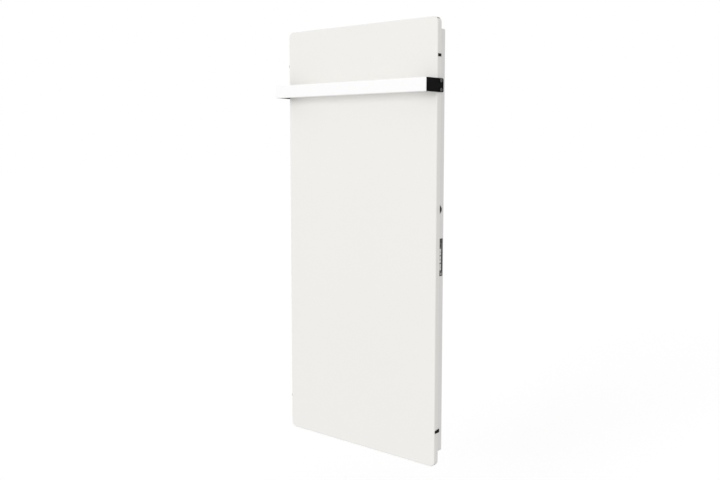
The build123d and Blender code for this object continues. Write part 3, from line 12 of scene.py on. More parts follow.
import bmesh
import bpy
import numpy as np
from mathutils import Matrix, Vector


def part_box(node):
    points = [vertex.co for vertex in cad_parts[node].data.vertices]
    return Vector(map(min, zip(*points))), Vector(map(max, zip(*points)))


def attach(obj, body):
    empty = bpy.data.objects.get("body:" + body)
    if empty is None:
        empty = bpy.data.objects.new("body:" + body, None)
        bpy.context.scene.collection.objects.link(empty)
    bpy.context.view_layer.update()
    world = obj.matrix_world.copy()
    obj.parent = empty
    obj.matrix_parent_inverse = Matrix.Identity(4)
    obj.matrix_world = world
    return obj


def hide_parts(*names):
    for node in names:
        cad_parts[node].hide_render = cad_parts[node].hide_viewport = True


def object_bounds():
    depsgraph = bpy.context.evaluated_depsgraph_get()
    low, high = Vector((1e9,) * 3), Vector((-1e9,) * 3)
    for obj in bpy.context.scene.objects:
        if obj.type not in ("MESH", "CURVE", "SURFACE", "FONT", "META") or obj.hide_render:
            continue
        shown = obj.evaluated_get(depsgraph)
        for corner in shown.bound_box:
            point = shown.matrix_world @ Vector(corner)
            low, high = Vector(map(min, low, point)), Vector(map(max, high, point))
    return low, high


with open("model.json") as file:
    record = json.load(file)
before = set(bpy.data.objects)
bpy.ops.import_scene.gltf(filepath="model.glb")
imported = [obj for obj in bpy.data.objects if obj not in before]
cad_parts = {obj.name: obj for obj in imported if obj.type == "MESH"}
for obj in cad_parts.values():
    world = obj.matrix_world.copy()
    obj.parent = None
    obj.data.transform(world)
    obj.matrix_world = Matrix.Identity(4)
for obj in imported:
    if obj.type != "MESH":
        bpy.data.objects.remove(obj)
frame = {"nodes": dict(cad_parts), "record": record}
cad_low, cad_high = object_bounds()
mm = 0.001
slot_of = {part["node"]: part["material_slot"] for part in frame["record"]["subparts"]}
print("nodes", len(frame["nodes"]), "height", round(cad_high.z - cad_low.z, 4))

# %% [markdown]
# ## Arithmetic on shader sockets
# A finish is mostly sums and products of patterns. Each Math node could be added and linked by hand, but
# that hides the formula. A small class that wraps a socket and overloads Python's operators lets the
# formula be read as one line, and adds the Math nodes by itself.


# %% A wire that can be added and multiplied
class Wire:
    """One output of a shader node. An operator on it adds a Math node and gives that node's output."""

    def __init__(self, finish, socket):
        self.finish = finish
        self.socket = socket

    def maths(self, operation, first, second):
        return self.finish.node("ShaderNodeMath", {"operation": operation}, {0: first, 1: second})

    def __add__(self, other):
        return self.maths("ADD", self, other)

    def __radd__(self, other):
        return self.maths("ADD", other, self)

    def __sub__(self, other):
        return self.maths("SUBTRACT", self, other)

    def __rsub__(self, other):
        return self.maths("SUBTRACT", other, self)

    def __mul__(self, other):
        return self.maths("MULTIPLY", self, other)

    def __rmul__(self, other):
        return self.maths("MULTIPLY", other, self)

    def __gt__(self, other):
        return self.maths("GREATER_THAN", self, other)

    def __lt__(self, other):
        return self.maths("LESS_THAN", self, other)


# %% [markdown]
# ## One place to build a finish
# Every material here is a Principled shader with a few patterns in front of it. The patterns read object
# coordinates, which are metres in the heater's own frame, so a lump of a given size stays that size on
# every piece, and no piece needs an unwrapped map.


# %% The finish and its patterns
def shaded(colour, factor=1.0):
    """A colour made lighter or darker by a factor, with its fourth channel added."""
    return tuple(min(1.0, channel * factor) for channel in colour) + (1.0,)


class Finish:
    """A material under construction: its tree, its Principled shader and the patterns that feed it."""

    def __init__(self, name, **constants):
        self.material = bpy.data.materials.new(name)
        self.material.use_nodes = True
        self.tree = self.material.node_tree
        self.shader = self.tree.nodes["Principled BSDF"]
        for socket, value in constants.items():
            self.shader.inputs[socket.replace("_", " ")].default_value = value
        self.place = self.node("ShaderNodeTexCoord", output="Object")

    def feed(self, socket, value):
        if isinstance(value, Wire):
            self.tree.links.new(value.socket, socket)
        else:
            socket.default_value = value

    def node(self, kind, settings=None, inputs=None, output=0):
        """Adds a node: its settings first, then the values or wires of its sockets."""
        made = self.tree.nodes.new(kind)
        for setting, value in (settings or {}).items():
            if setting == "stops":
                for stop, (position, colour) in zip(made.color_ramp.elements, value):
                    stop.position = position
                    stop.color = colour
            else:
                setattr(made, setting, value)
        for socket, value in (inputs or {}).items():
            self.feed(made.inputs[socket], value)
        return Wire(self, made.outputs[output])

    def vector(self, operation, first, second=(0.0, 0.0, 0.0)):
        """A Vector Math node, which keeps all three numbers of a place."""
        return self.node("ShaderNodeVectorMath", {"operation": operation}, {0: first, 1: second})

    def stretched(self, lump, stretch):
        """Object coordinates scaled so that a lump is one unit wide, and longer where stretch is above 1."""
        return self.vector("MULTIPLY", self.place, tuple(1.0 / (lump * times) for times in stretch))

    def clouds(self, lump, detail=2.0, stretch=(1, 1, 1)):
        """Soft noise between 0 and 1 whose lumps are about this many metres across."""
        where = self.stretched(lump, stretch)
        return self.node("ShaderNodeTexNoise", None, {"Vector": where, "Scale": 1.0, "Detail": detail})

    def crystals(self, lump, stretch=(1, 1, 1), feature="F1", output="Distance"):
        """Cells of about this many metres, as the distance from each cell's middle or as a random tone."""
        where = self.stretched(lump, stretch)
        return self.node(
            "ShaderNodeTexVoronoi", {"feature": feature}, {"Vector": where, "Scale": 1.0}, output
        )

    def band(self, low, high, value):
        """0 where the value is below low, 1 where it is above high, and smooth between them."""
        return self.node(
            "ShaderNodeMapRange",
            {"interpolation_type": "SMOOTHSTEP"},
            {"Value": value, "From Min": low, "From Max": high},
        )

    def blend(self, factor, first, second):
        """From the first colour to the second as the factor goes from 0 to 1."""
        return self.node("ShaderNodeMix", {"data_type": "RGBA"}, {0: factor, 6: first, 7: second}, 2)

    def paint(self, colour=None, roughness=None, height=None, depth=0.0, metallic=None):
        """Feeds the shader. Height is a pattern from 0 to 1, and depth is its relief in metres."""
        for socket, value in (("Base Color", colour), ("Roughness", roughness), ("Metallic", metallic)):
            if value is not None:
                self.feed(self.shader.inputs[socket], value)
        if height is not None:
            bump = self.node("ShaderNodeBump", None, {"Distance": depth, "Height": height})
            self.feed(self.shader.inputs["Normal"], bump)
        return self.material


# %% [markdown]
# ## Powder coat
# Panel, casing, bar and arms are sprayed with powder and baked. The powder melts into a skin with a faint
# orange peel, lumps of about a millimetre and some hundredths of a millimetre deep, over a finer grain.
# A plain glossy shader would look like wet plastic, so the relief breaks up its reflections, and
# broad clouds move the tone and the gloss by a percent or two as on a real sheet.
# The gun reaches only the outside of the front tray. Its inside keeps a grey primer, kept dark enough that
# it also stands as painted shade where it shows through the corner slits. Near-black painted shade lies on
# the short seams where its flanges meet at the corners, which are seen in shadow. These could be separate
# material slots, but the tray is one mesh of loose triangles, so masks that know the tray's outline sort
# them instead.


# %% The corner seams' painted shade and the inside of a tray
def tray_masks(finish, node, corner_radius, front_edge, rim, seam_shade_depth, skin):
    """Two masks for a node that is a rounded rectangle seen from the front: its corner seams, which carry
    painted shade, and its inside.

    Formula: depth = radius - length of max(|p - middle| - (half size - radius), 0) in x and z. A seam is
    deeper than its shade depth, behind the front edge and short of the rim; the inside is deeper than the
    skin."""
    low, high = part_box(node)
    middle, half = (low + high) / 2, (high - low) / 2
    from_middle = finish.vector("SUBTRACT", finish.place, tuple(middle))
    past_core = finish.vector(
        "SUBTRACT",
        finish.vector("ABSOLUTE", from_middle),
        (half.x - corner_radius, 1.0, half.z - corner_radius),
    )
    outward = finish.vector("MAXIMUM", past_core, (0.0, 0.0, 0.0))
    distance = finish.node("ShaderNodeVectorMath", {"operation": "LENGTH"}, {0: outward}, "Value")
    depth = corner_radius - distance
    back = finish.node("ShaderNodeSeparateXYZ", None, {0: finish.place}, "Y")
    seam_shade = (depth > seam_shade_depth) * (back > low.y + front_edge) * (back < high.y - rim)
    return seam_shade, (depth > skin) * (back > low.y + skin)


# %% Powder coat
tone_drift_size = 220 * mm
primer_dust_size = 30 * mm
gloss_patch_size = 20 * mm
peel_size = 1.6 * mm
powder_grain_size = 0.4 * mm


def powder_coat(name, colour, roughness, peel_depth=22e-6, drift=0.012, specular=0.3, tray=None):
    """Tone and roughness drift with broad clouds; relief is peel plus a third of that in fine grain."""
    finish = Finish(name, Specular_IOR_Level=specular)
    broad = finish.clouds(tone_drift_size, 1.0)
    patches = finish.clouds(gloss_patch_size, 2.0)
    peel = finish.clouds(peel_size, 1.0)
    grain = finish.clouds(powder_grain_size, 2.0)
    tone = finish.blend(
        0.7 * broad + 0.3 * grain, shaded(colour, 1 - drift), shaded(colour, 1 + drift)
    )
    if tray:
        seam_shade, inside = tray_masks(finish, **tray)
        dust = finish.clouds(primer_dust_size, 3.0)
        dusting = finish.blend(dust, shaded(primer_and_shade_grey, 0.8), shaded(primer_and_shade_grey, 1.2))
        # Painted shade: the corner seams are made near-black because they are seen in shadow.
        tone = finish.blend(seam_shade, tone, shaded(painted_seam_shade))
        # The tray's inside gets the grey primer, which is also painted shade where it shows through the
        # corner slits.
        tone = finish.blend(inside, tone, dusting)
    return finish.paint(
        colour=tone,
        roughness=roughness - 0.05 + 0.1 * patches,
        height=peel + 0.33 * grain,
        depth=peel_depth,
    )


# %% [markdown]
# ## Moulded plastic and rubber
# The clips, keys, fascia, wheel and gland are injection moulded. Their tools are spark-eroded, which leaves
# an even pebble of a few tenths of a millimetre, and thick walls sink a little as they cool, which shows
# as slow waves in the gloss. Rubber gets the same recipe with a duller skin and a dusting of bloom.


# %% Moulded plastic and rubber
sink_size = 9 * mm


def moulded(name, colour, roughness, pebble=0.0005, depth=14e-6, bloom=0.03, **constants):
    """Pebbled relief, slow waves in the gloss, and tone drifting by the bloom."""
    finish = Finish(name, **constants)
    pebbles = finish.crystals(pebble, feature="SMOOTH_F1")
    grain = finish.clouds(pebble * 0.6, 2.0)
    sink = finish.clouds(sink_size, 1.0)
    tone = finish.blend(grain, shaded(colour, 1 - bloom), shaded(colour, 1 + bloom))
    return finish.paint(
        colour=tone,
        roughness=roughness - 0.05 + 0.1 * sink,
        height=0.7 * pebbles + 0.5 * grain,
        depth=depth,
    )


# %% [markdown]
# ## Bare and plated metal
# Bolts, brackets and the backing sheet aren't painted. Zinc freezes in flat crystals that each reflect a
# little differently, rolling leaves fine lines along the sheet, and handling dulls it in patches.
# The crystals come from Voronoi cells, the lines from noise that is stretched fifty times along one axis.


# %% Plated metal
rolling_line_width = 0.4 * mm
dull_patch_size = 12 * mm


def plated(name, colour, roughness, spangle=0.0, rolling=(1, 1, 50)):
    """Metal whose tone and gloss follow rolling lines, dull patches and, if asked, zinc crystals."""
    finish = Finish(name, Metallic=1.0)
    lines = finish.clouds(rolling_line_width, 2.0, stretch=rolling)
    dull = finish.clouds(dull_patch_size, 3.0)
    shade = 0.55 * dull + 0.45 * lines
    if spangle:
        crystal = finish.crystals(spangle, output="Color")
        tone_of_crystal = finish.node("ShaderNodeRGBToBW", None, {0: crystal})
        shade = 0.5 * shade + 0.5 * tone_of_crystal
    return finish.paint(
        colour=finish.blend(shade, shaded(colour, 0.8), shaded(colour, 1.12)),
        roughness=roughness - 0.08 + 0.18 * shade,
        height=lines,
        depth=6e-6,
    )


# %% [markdown]
# ## The materials inside
# Behind the panel lie mica board, a resistance ribbon, mineral fibre board, wires in woven sleeves and a
# circuit board. They show only through the vents or on the bench, but each still gets the texture that
# tells it apart: flakes, fibres, weave, copper tracks, speckled ceramic.


# %% Mica, fibre board and ceramic
flake_size = 6 * mm
split_size = 2.2 * mm
fibre_width = 0.6 * mm
speck_size = 0.6 * mm
pit_size = 0.2 * mm


def mica_board(name):
    """Thin flakes: two sizes of cells, blended between pale and dark amber."""
    finish = Finish(name, Specular_IOR_Level=0.6)
    flakes = finish.crystals(flake_size, stretch=(1, 0.2, 1.6), output="Color")
    flake_tone = finish.node("ShaderNodeRGBToBW", None, {0: flakes})
    splits = finish.crystals(split_size, feature="DISTANCE_TO_EDGE")
    tone = finish.blend(flake_tone, (0.36, 0.28, 0.17, 1), (0.62, 0.55, 0.42, 1))
    return finish.paint(tone, 0.32 + 0.25 * flake_tone, finish.band(0.0, 0.12, splits), 3e-5)


def fibre_board(name):
    """Pressed fibres: two stretched noises laid across each other, with pale and dark strands."""
    finish = Finish(name, Specular_IOR_Level=0.2)
    along = finish.clouds(fibre_width, 3.0, stretch=(14, 1, 1))
    upright = finish.clouds(fibre_width, 3.0, stretch=(1, 1, 14))
    felt = 0.5 * along + 0.5 * upright
    tone = finish.blend(finish.band(0.35, 0.65, felt), (0.66, 0.64, 0.58, 1), (0.84, 0.83, 0.79, 1))
    return finish.paint(tone, 0.9 - 0.08 * felt, felt, 8e-5)


def fired_ceramic(name):
    """Pale body with sparse brown specks and a dry, finely pitted skin."""
    finish = Finish(name)
    specks = finish.band(0.62, 0.7, finish.clouds(speck_size, 3.0))
    pits = finish.clouds(pit_size, 2.0)
    tone = finish.blend(specks, (0.72, 0.68, 0.6, 1), (0.42, 0.34, 0.25, 1))
    return finish.paint(tone, 0.7 + 0.1 * pits, pits, 1e-5)


# %% Woven sleeves and the circuit board
braid_pitch = 0.9 * mm
stripe_pitch = 9 * mm
track_pitch = 6 * mm


def woven_sleeve(name, colour, stripe=None):
    """Braid: two sets of diagonal waves; their product is the relief. A stripe colour adds wide bands."""
    finish = Finish(name, Specular_IOR_Level=0.35)
    axes = finish.node("ShaderNodeSeparateXYZ", None, {0: finish.place}, "X")
    parts = axes.socket.node.outputs
    across = Wire(finish, parts["X"]) + Wire(finish, parts["Y"])
    along = Wire(finish, parts["Z"])
    turns = 2 * math.pi / braid_pitch
    left = finish.node("ShaderNodeMath", {"operation": "SINE"}, {0: turns * (along + across)})
    right = finish.node("ShaderNodeMath", {"operation": "SINE"}, {0: turns * (along - across)})
    weave = 0.5 + 0.5 * left * right
    tone = finish.blend(weave, shaded(colour, 0.8), shaded(colour, 1.15))
    if stripe:
        stripe_turns = 2 * math.pi / stripe_pitch
        slant = along + 2 * across
        wide = finish.node("ShaderNodeMath", {"operation": "SINE"}, {0: stripe_turns * slant})
        tone = finish.blend(finish.band(-0.05, 0.05, wide), tone, shaded(stripe))
    return finish.paint(tone, 0.75 - 0.1 * weave, weave, 4e-5)


def circuit_board(name):
    """Green solder mask over copper tracks, which a brick pattern lays out as paler bars."""
    finish = Finish(name, Coat_Weight=0.3)
    where = finish.stretched(track_pitch, (1, 1, 1))
    swung = finish.node(
        "ShaderNodeMapping", None, {"Vector": where, "Rotation": (0.0, math.pi / 2, 0.0)}
    )
    tracks = finish.node(
        "ShaderNodeTexBrick",
        {"offset": 0.37, "squash": 0.6, "squash_frequency": 3},
        {"Vector": swung, "Scale": 1.0, "Mortar Size": 0.06},
        "Fac",
    )
    tone = finish.blend(tracks, (0.02, 0.12, 0.05, 1), (0.05, 0.24, 0.11, 1))
    return finish.paint(tone, 0.34 - 0.08 * tracks, tracks, 3e-5)


# %% [markdown]
# ## Which slot gets which finish
# The record names one material slot for each node. One table from slot to finish is enough to dress the
# whole heater, because every node that shares a slot shares its material.

# %% The finishes by slot
# Primer grey for the tray's inside, kept dark enough to be partly painted shade seen through the corner
# slits.
primer_and_shade_grey = (0.27, 0.27, 0.265)
# Painted shade for the corner seams, which are seen in shadow.
painted_seam_shade = (0.035, 0.035, 0.035)
front_tray = {
    "node": "front_panel",
    "corner_radius": 13 * mm,
    "front_edge": 1.5 * mm,
    "rim": 0.05 * mm,
    "seam_shade_depth": 0.5 * mm,
    "skin": 1.0 * mm,
}

finishes = {
    "panel_enamel": powder_coat("panel_enamel", (0.864, 0.853, 0.822), 0.6, tray=front_tray),
    "casing_enamel": powder_coat("casing_enamel", (0.835, 0.822, 0.805), 0.6),
    "bar_enamel": powder_coat("bar_enamel", (0.968, 0.968, 0.966), 0.34, peel_depth=12e-6, specular=0.5),
    "black_coat": powder_coat("black_coat", (0.0018, 0.0019, 0.002), 0.4, specular=0.03),
    "black_screw": plated("black_screw", (0.11, 0.11, 0.113), 0.3, rolling=(1, 1, 1)),
    "zinc_steel": plated("zinc_steel", (0.62, 0.63, 0.64), 0.34),
    "galvanised_steel": plated("galvanised_steel", (0.55, 0.56, 0.57), 0.42, spangle=0.009),
    "aluminised_steel": plated("aluminised_steel", (0.68, 0.68, 0.67), 0.45, spangle=0.004),
    "track_alloy": plated("track_alloy", (0.5, 0.48, 0.45), 0.4),
    "capacitor_can": plated("capacitor_can", (0.6, 0.6, 0.62), 0.25),
    "mica": mica_board("mica"),
    "board_fibre": fibre_board("board_fibre"),
    "cutout_body": fired_ceramic("cutout_body"),
    "black_clip": moulded("black_clip", (0.004, 0.004, 0.004), 0.5, Specular_IOR_Level=0.1),
    "fascia_plastic": moulded("fascia_plastic", (0.1, 0.1, 0.098), 0.45, Specular_IOR_Level=0.3),
    "smoked_lens": moulded("smoked_lens", (0.018, 0.018, 0.02), 0.12, 0.004, 2e-6, Specular_IOR_Level=0.3),
    "grey_key": moulded("grey_key", (0.72, 0.72, 0.71), 0.55, depth=10e-6),
    "black_key": moulded("black_key", (0.1, 0.1, 0.1), 0.55, depth=10e-6),
    "black_wheel": moulded("black_wheel", (0.02, 0.018, 0.016), 0.42, Specular_IOR_Level=0.25),
    "white_plastic": moulded("white_plastic", (0.82, 0.82, 0.8), 0.3),
    "component_plastic": moulded("component_plastic", (0.05, 0.05, 0.052), 0.4),
    "housing_plastic": moulded("housing_plastic", (0.3, 0.3, 0.3), 0.5, 0.0008),
    "board_laminate": circuit_board("board_laminate"),
    "led_body": moulded("led_body", (0.85, 0.85, 0.8), 0.12, depth=2e-6),
    "relay_case": moulded("relay_case", (0.03, 0.12, 0.35), 0.3),
    "transformer_resin": moulded("transformer_resin", (0.04, 0.04, 0.045), 0.35, 0.003),
    "terminal_plastic": moulded("terminal_plastic", (0.05, 0.3, 0.1), 0.35),
    "gland_plastic": moulded("gland_plastic", (0.03, 0.03, 0.03), 0.48),
    "sensor_cap": moulded("sensor_cap", (0.75, 0.75, 0.73), 0.35),
    "spacer_rubber": moulded("spacer_rubber", (0.03, 0.03, 0.03), 0.8, 0.0007, bloom=0.2),
    "element_sleeve": woven_sleeve("element_sleeve", (0.7, 0.68, 0.6)),
    "supply_sleeve": woven_sleeve("supply_sleeve", (0.12, 0.06, 0.04)),
    "sensor_sleeve": woven_sleeve("sensor_sleeve", (0.05, 0.05, 0.05)),
    "earth_sleeve": woven_sleeve("earth_sleeve", (0.12, 0.35, 0.05), stripe=(0.75, 0.6, 0.05)),
}
print("finishes", len(finishes))

# %% Dress every node
for node_name, solid in frame["nodes"].items():
    solid.data.materials.clear()
    solid.data.materials.append(finishes[slot_of[node_name]])
print("dressed", len(frame["nodes"]), "nodes in", len(set(slot_of.values())), "finishes")


# %% [markdown]
# ## Surfaces from arrays
# The new pieces are surfaces with two parameters. A whole grid of points is computed at once with numpy,
# and the same few lines turn any such grid into a mesh, closed across its rows, its columns or both. A tube
# that ends gets a cap at each end. The volume that is printed for each piece is also a test: it is above
# zero only where the faces point outwards.


# %% From a grid of points to a mesh
def surface(name, grid, close_rows=False, close_columns=False, caps=False, flip=False):
    """Joins each point of grid[row, column] to its neighbours; a closed direction joins last to first.

    Caps close a tube whose columns go round: the first and the last row each become one face."""
    rows, columns = grid.shape[:2]
    number = np.arange(rows * columns).reshape(rows, columns)
    ends = [number[0, ::-1], number[-1]] if caps else []
    if close_rows:
        number = np.vstack([number, number[:1]])
    if close_columns:
        number = np.hstack([number, number[:, :1]])
    corners = [number[:-1, :-1], number[:-1, 1:], number[1:, 1:], number[1:, :-1]]
    quads = np.stack(corners, axis=-1).reshape(-1, 4)
    faces = quads.tolist() + [end.tolist() for end in ends]
    if flip:
        faces = [face[::-1] for face in faces]
    mesh = bpy.data.meshes.new(name)
    mesh.from_pydata(grid.reshape(-1, 3).tolist(), [], faces)
    return mesh


def place(name, mesh, slot, body, sharp_degrees=40.0):
    """Puts a mesh in the scene as a piece: smooth but for its sharp edges, finished and riding on a body."""
    mesh.shade_smooth()
    mesh.set_sharp_from_angle(angle=math.radians(sharp_degrees))
    piece = bpy.data.objects.new(name, mesh)
    bpy.context.scene.collection.objects.link(piece)
    mesh.materials.append(finishes[slot])
    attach(piece, body)
    shell = bmesh.new()
    shell.from_mesh(mesh)
    volume = shell.calc_volume(signed=True) / mm**3
    print(name, "faces", len(mesh.polygons), "volume in mm3", round(volume, 2))
    shell.free()
    return piece


# %% [markdown]
# ## The thumbwheel
# On the real heater a knurled wheel stands out of the casing's slot, and a thumb turns it. The solid has
# sharp grooves cut in a plain disc. A moulded wheel has soft flutes, a dished face and rounded corners,
# so here the wheel is a profile turned about its axis, with a radius that waves along the rim.

# %% The thumbwheel's surface
wheel_low, wheel_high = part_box("setting_wheel")
wheel_axis = (wheel_low + wheel_high) / 2
wheel_radius = (wheel_high.z - wheel_low.z) / 2
wheel_width = wheel_high.y - wheel_low.y
bore_radius = 2.05 * mm
dish_radius = 6.5 * mm
dish_depth = 0.8 * mm
corner = 0.6 * mm
flutes = 40
flute_depth = 0.4 * mm
steps_per_flute = 14


def arc(centre, radius, start, end, steps):
    """Points on an arc in (radius, depth) coordinates, from one angle to another in degrees."""
    turn = np.radians(np.linspace(start, end, steps))
    return np.column_stack([centre[0] + radius * np.cos(turn), centre[1] + radius * np.sin(turn)])


def wheel_surface():
    """r(angle, s) = profile radius(s) - flute depth * rim share(s) * raised cosine(angle)^3."""
    lip = 0.3 * mm
    profile = np.vstack([
        [(bore_radius, wheel_width), (bore_radius, dish_depth)],
        arc((dish_radius - lip, dish_depth - lip), lip, 90, 0, 5),
        arc((dish_radius + lip, lip), lip, 180, 270, 5),
        arc((wheel_radius - corner, corner), corner, 270, 360, 7),
        arc((wheel_radius - corner, wheel_width - corner), corner, 0, 90, 7),
    ])
    angle = np.linspace(0, 2 * np.pi, flutes * steps_per_flute, endpoint=False)[:, None]
    radius, depth = profile[:, 0][None, :], profile[:, 1][None, :]
    rim_share = np.clip((radius - wheel_radius + 2 * corner) / (2 * corner), 0, 1) ** 0.5
    flute = (0.5 + 0.5 * np.cos(flutes * angle)) ** 3
    waved = radius - flute_depth * rim_share * flute
    return np.stack(
        [
            wheel_axis.x + waved * np.cos(angle),
            wheel_low.y + depth + 0 * angle,
            wheel_axis.z + waved * np.sin(angle),
        ],
        axis=-1,
    )


wheel = place(
    "fluted_wheel",
    surface("fluted_wheel", wheel_surface(), close_rows=True, close_columns=True),
    "black_wheel",
    "wheel",
)
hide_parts("setting_wheel")

# %% [markdown]
# ## Printed symbols
# The keys carry small printed signs: an arrow up, a clock, an arrow down and the usual on-off sign. Print
# has a thickness of some hundredths of a millimetre. Each sign is a flat ribbon carried along a path,
# which gives crisp ends at any zoom, where a painted picture would blur.


# %% A ribbon along a path
def ribbon(name, path, width, face_x, thickness, closed=False):
    """A flat strip on a plane x = face_x. At each point of the path, the strip's two edges lie half a
    width to either side along the mean of the neighbouring runs' normals, lengthened to keep its width."""
    path = np.asarray(path, float)
    ahead = np.roll(path, -1, axis=0) - path
    behind = path - np.roll(path, 1, axis=0)
    if not closed:
        ahead[-1], behind[0] = behind[-1], ahead[0]
    ahead /= np.linalg.norm(ahead, axis=1)[:, None]
    behind /= np.linalg.norm(behind, axis=1)[:, None]
    normal = np.column_stack([-(ahead + behind)[:, 1], (ahead + behind)[:, 0]])
    normal /= np.linalg.norm(normal, axis=1)[:, None]
    lean = np.sum(normal * np.column_stack([-ahead[:, 1], ahead[:, 0]]), axis=1)
    side = normal * (width / 2 / lean)[:, None]
    left, right = path + side, path - side
    low, high = face_x - thickness, face_x + thickness
    ring = [(left, low), (left, high), (right, high), (right, low)]
    grid = np.stack(
        [np.column_stack([np.full(len(path), x), edge]) for edge, x in ring], axis=1
    )
    return surface(name, grid, close_rows=closed, close_columns=True, caps=not closed)


def round_path(radius, start, end, steps):
    """Points on an arc about the origin, in (y, z), from one angle to another in degrees."""
    turn = np.radians(np.linspace(start, end, steps))
    return np.column_stack([radius * np.cos(turn), radius * np.sin(turn)])


# %% The signs on the keys
print_thickness = 0.03 * mm
stroke = 0.5 * mm
arrow = np.array([(-1.4, -0.7), (0.0, 0.8), (1.4, -0.7)]) * mm
key_signs = {
    "up": [(arrow, False)],
    "mode": [
        (round_path(1.5 * mm, 0, 345, 24), True),
        (np.array([(0.0, 0.85), (0.0, 0.0), (0.6, -0.35)]) * mm, False),
    ],
    "down": [(-arrow, False)],
    "power": [
        (round_path(2.1 * mm, 125, 415, 28), False),
        (np.array([(0.0, 2.6), (0.0, 0.6)]) * mm, False),
    ],
}
for key, signs in key_signs.items():
    low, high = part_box(f"button_{key}")
    middle = np.array([(low.y + high.y) / 2, (low.z + high.z) / 2])
    for number, (path, closed) in enumerate(signs):
        name = f"sign_{key}_{number}"
        mesh = ribbon(name, path + middle, stroke, high.x, print_thickness, closed)
        slot = "white_plastic" if key == "power" else "component_plastic"
        place(name, mesh, slot, f"key_{key}")

# %% [markdown]
# ## The display and the level bar
# The display is off in the picture, yet faint marks show in its window, which are read as the segments of
# two figures. On a real one they lie under the smoked window. This window isn't clear, so they are laid on
# its face. A figure has up to seven bars with pointed ends. One bar is drawn once as six points, and turned
# and moved copies of it make both figures.

# %% Segments of the display
window_low, window_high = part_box("display_lens")
window_middle = (window_low + window_high) / 2
figure_height = 0.62 * (window_high.z - window_low.z)
figure_width = 0.5 * figure_height
figure_pitch = 1.5 * figure_width
bar_half = 0.08 * figure_width
shown = {"left": "abged", "right": "bc"}


def display_bars():
    """Six points of a pointed bar, turned by 0 or 90 degrees and moved to each lit place."""
    half_length = figure_width / 2 - bar_half
    tall_half = figure_height / 4 - bar_half
    places = {
        "a": (0, 0.5, False), "g": (0, 0, False), "d": (0, -0.5, False),
        "b": (0.5, 0.25, True), "c": (0.5, -0.25, True),
        "f": (-0.5, 0.25, True), "e": (-0.5, -0.25, True),
    }
    bars = []
    for side, letters in zip((-0.5, 0.5), shown.values()):
        for letter in letters:
            across, up, upright = places[letter]
            half = tall_half if upright else half_length
            bar = np.array([
                (-half, 0), (-half + bar_half, -bar_half), (half - bar_half, -bar_half),
                (half, 0), (half - bar_half, bar_half), (-half + bar_half, bar_half),
            ])
            if upright:
                bar = bar[:, ::-1] * (1, -1)
            bars.append(bar + (side * figure_pitch + across * figure_width, up * figure_height))
    return np.array(bars)


def segments_mesh(name, bars, face_x, thickness):
    """Two layers of the flat bars, joined by their rims into closed prisms."""
    count, sides = bars.shape[:2]
    flat = bars.reshape(-1, 2) + (window_middle.y, window_middle.z)
    low = np.column_stack([np.full(len(flat), face_x - thickness), flat])
    high = np.column_stack([np.full(len(flat), face_x + thickness), flat])
    index = np.arange(count * sides).reshape(count, sides)
    nearby = np.roll(index, -1, axis=1)
    total = count * sides
    rims = np.stack([index, nearby, nearby + total, index + total], axis=-1).reshape(-1, 4)
    mesh = bpy.data.meshes.new(name)
    faces = rims.tolist() + (index + total).tolist() + index[:, ::-1].tolist()
    mesh.from_pydata(np.vstack([low, high]).tolist(), [], faces)
    return mesh


place(
    "display_figures",
    segments_mesh("display_figures", display_bars(), window_high.x, print_thickness),
    "housing_plastic",
    "heater",
)

# %% Ticks on the level bar
guide_low, guide_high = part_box("level_light_guide")
tick_count = 7
tick_margin = 4 * mm
tick_inset = 0.7 * mm
tick_width = 0.35 * mm
tick_heights = np.linspace(guide_low.z + tick_margin, guide_high.z - tick_margin, tick_count)
for number, tick_z in enumerate(tick_heights):
    ends = [(guide_low.y + tick_inset, tick_z), (guide_high.y - tick_inset, tick_z)]
    mesh = ribbon(f"level_tick_{number}", ends, tick_width, guide_high.x, print_thickness)
    place(f"level_tick_{number}", mesh, "housing_plastic", "heater")

# %% [markdown]
# ## Weld beads
# Each arm carries a tab that is welded inside it, behind the bar. A bead of weld is a row of overlapping
# drops: its section is a little over a quarter disc in the corner, and its radius ripples along the seam.

# %% Weld beads in the arms' corners
bead_radius = 1.5 * mm
bead_margin = 4 * mm
bead_rows = 120
ripple_pitch = 1.1 * mm
ripple_share = 0.14
arm_thickness = 2.5 * mm
arm_gap = 0.1 * mm


def bead_surface(corner_x, corner_y, side, low_z, high_z):
    """Radius along the seam = bead radius * end taper * (1 + ripple of rectified sines), swept over the
    angle of the corner and back through the corner's line."""
    along = np.linspace(low_z, high_z, bead_rows)[:, None]
    share = (along - low_z) / (high_z - low_z)
    taper = np.sqrt(np.clip(np.minimum(share, 1 - share) * 12, 0.02, 1))
    ripple = 1 - ripple_share + ripple_share * np.abs(np.sin(np.pi * (along - low_z) / ripple_pitch))
    radius = bead_radius * taper * ripple
    angle = np.radians(np.linspace(-8, 98, 9))[None, :]
    x = corner_x - side * radius * np.cos(angle)
    y = corner_y + radius * np.sin(angle)
    z = along + 0 * angle
    arc_grid = np.stack([x, y, z], axis=-1)
    foot = np.stack([corner_x + 0 * along, corner_y + 0 * along, along], axis=-1)
    return np.concatenate([arc_grid, foot], axis=1)


for label, side in (("left", -1), ("right", 1)):
    arm_low, arm_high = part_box(f"bar_bracket_{label}")
    bar_low, bar_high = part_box("towel_bar")
    inner_x = arm_high.x - arm_thickness if side > 0 else arm_low.x + arm_thickness
    tab_rear_y = bar_high.y + arm_gap + arm_thickness
    grid = bead_surface(inner_x, tab_rear_y, side, bar_low.z + bead_margin, bar_high.z - bead_margin)
    mesh = surface(f"arm_weld_{label}", grid, close_columns=True, caps=True, flip=side > 0)
    place(f"arm_weld_{label}", mesh, "black_coat", "heater", 60)

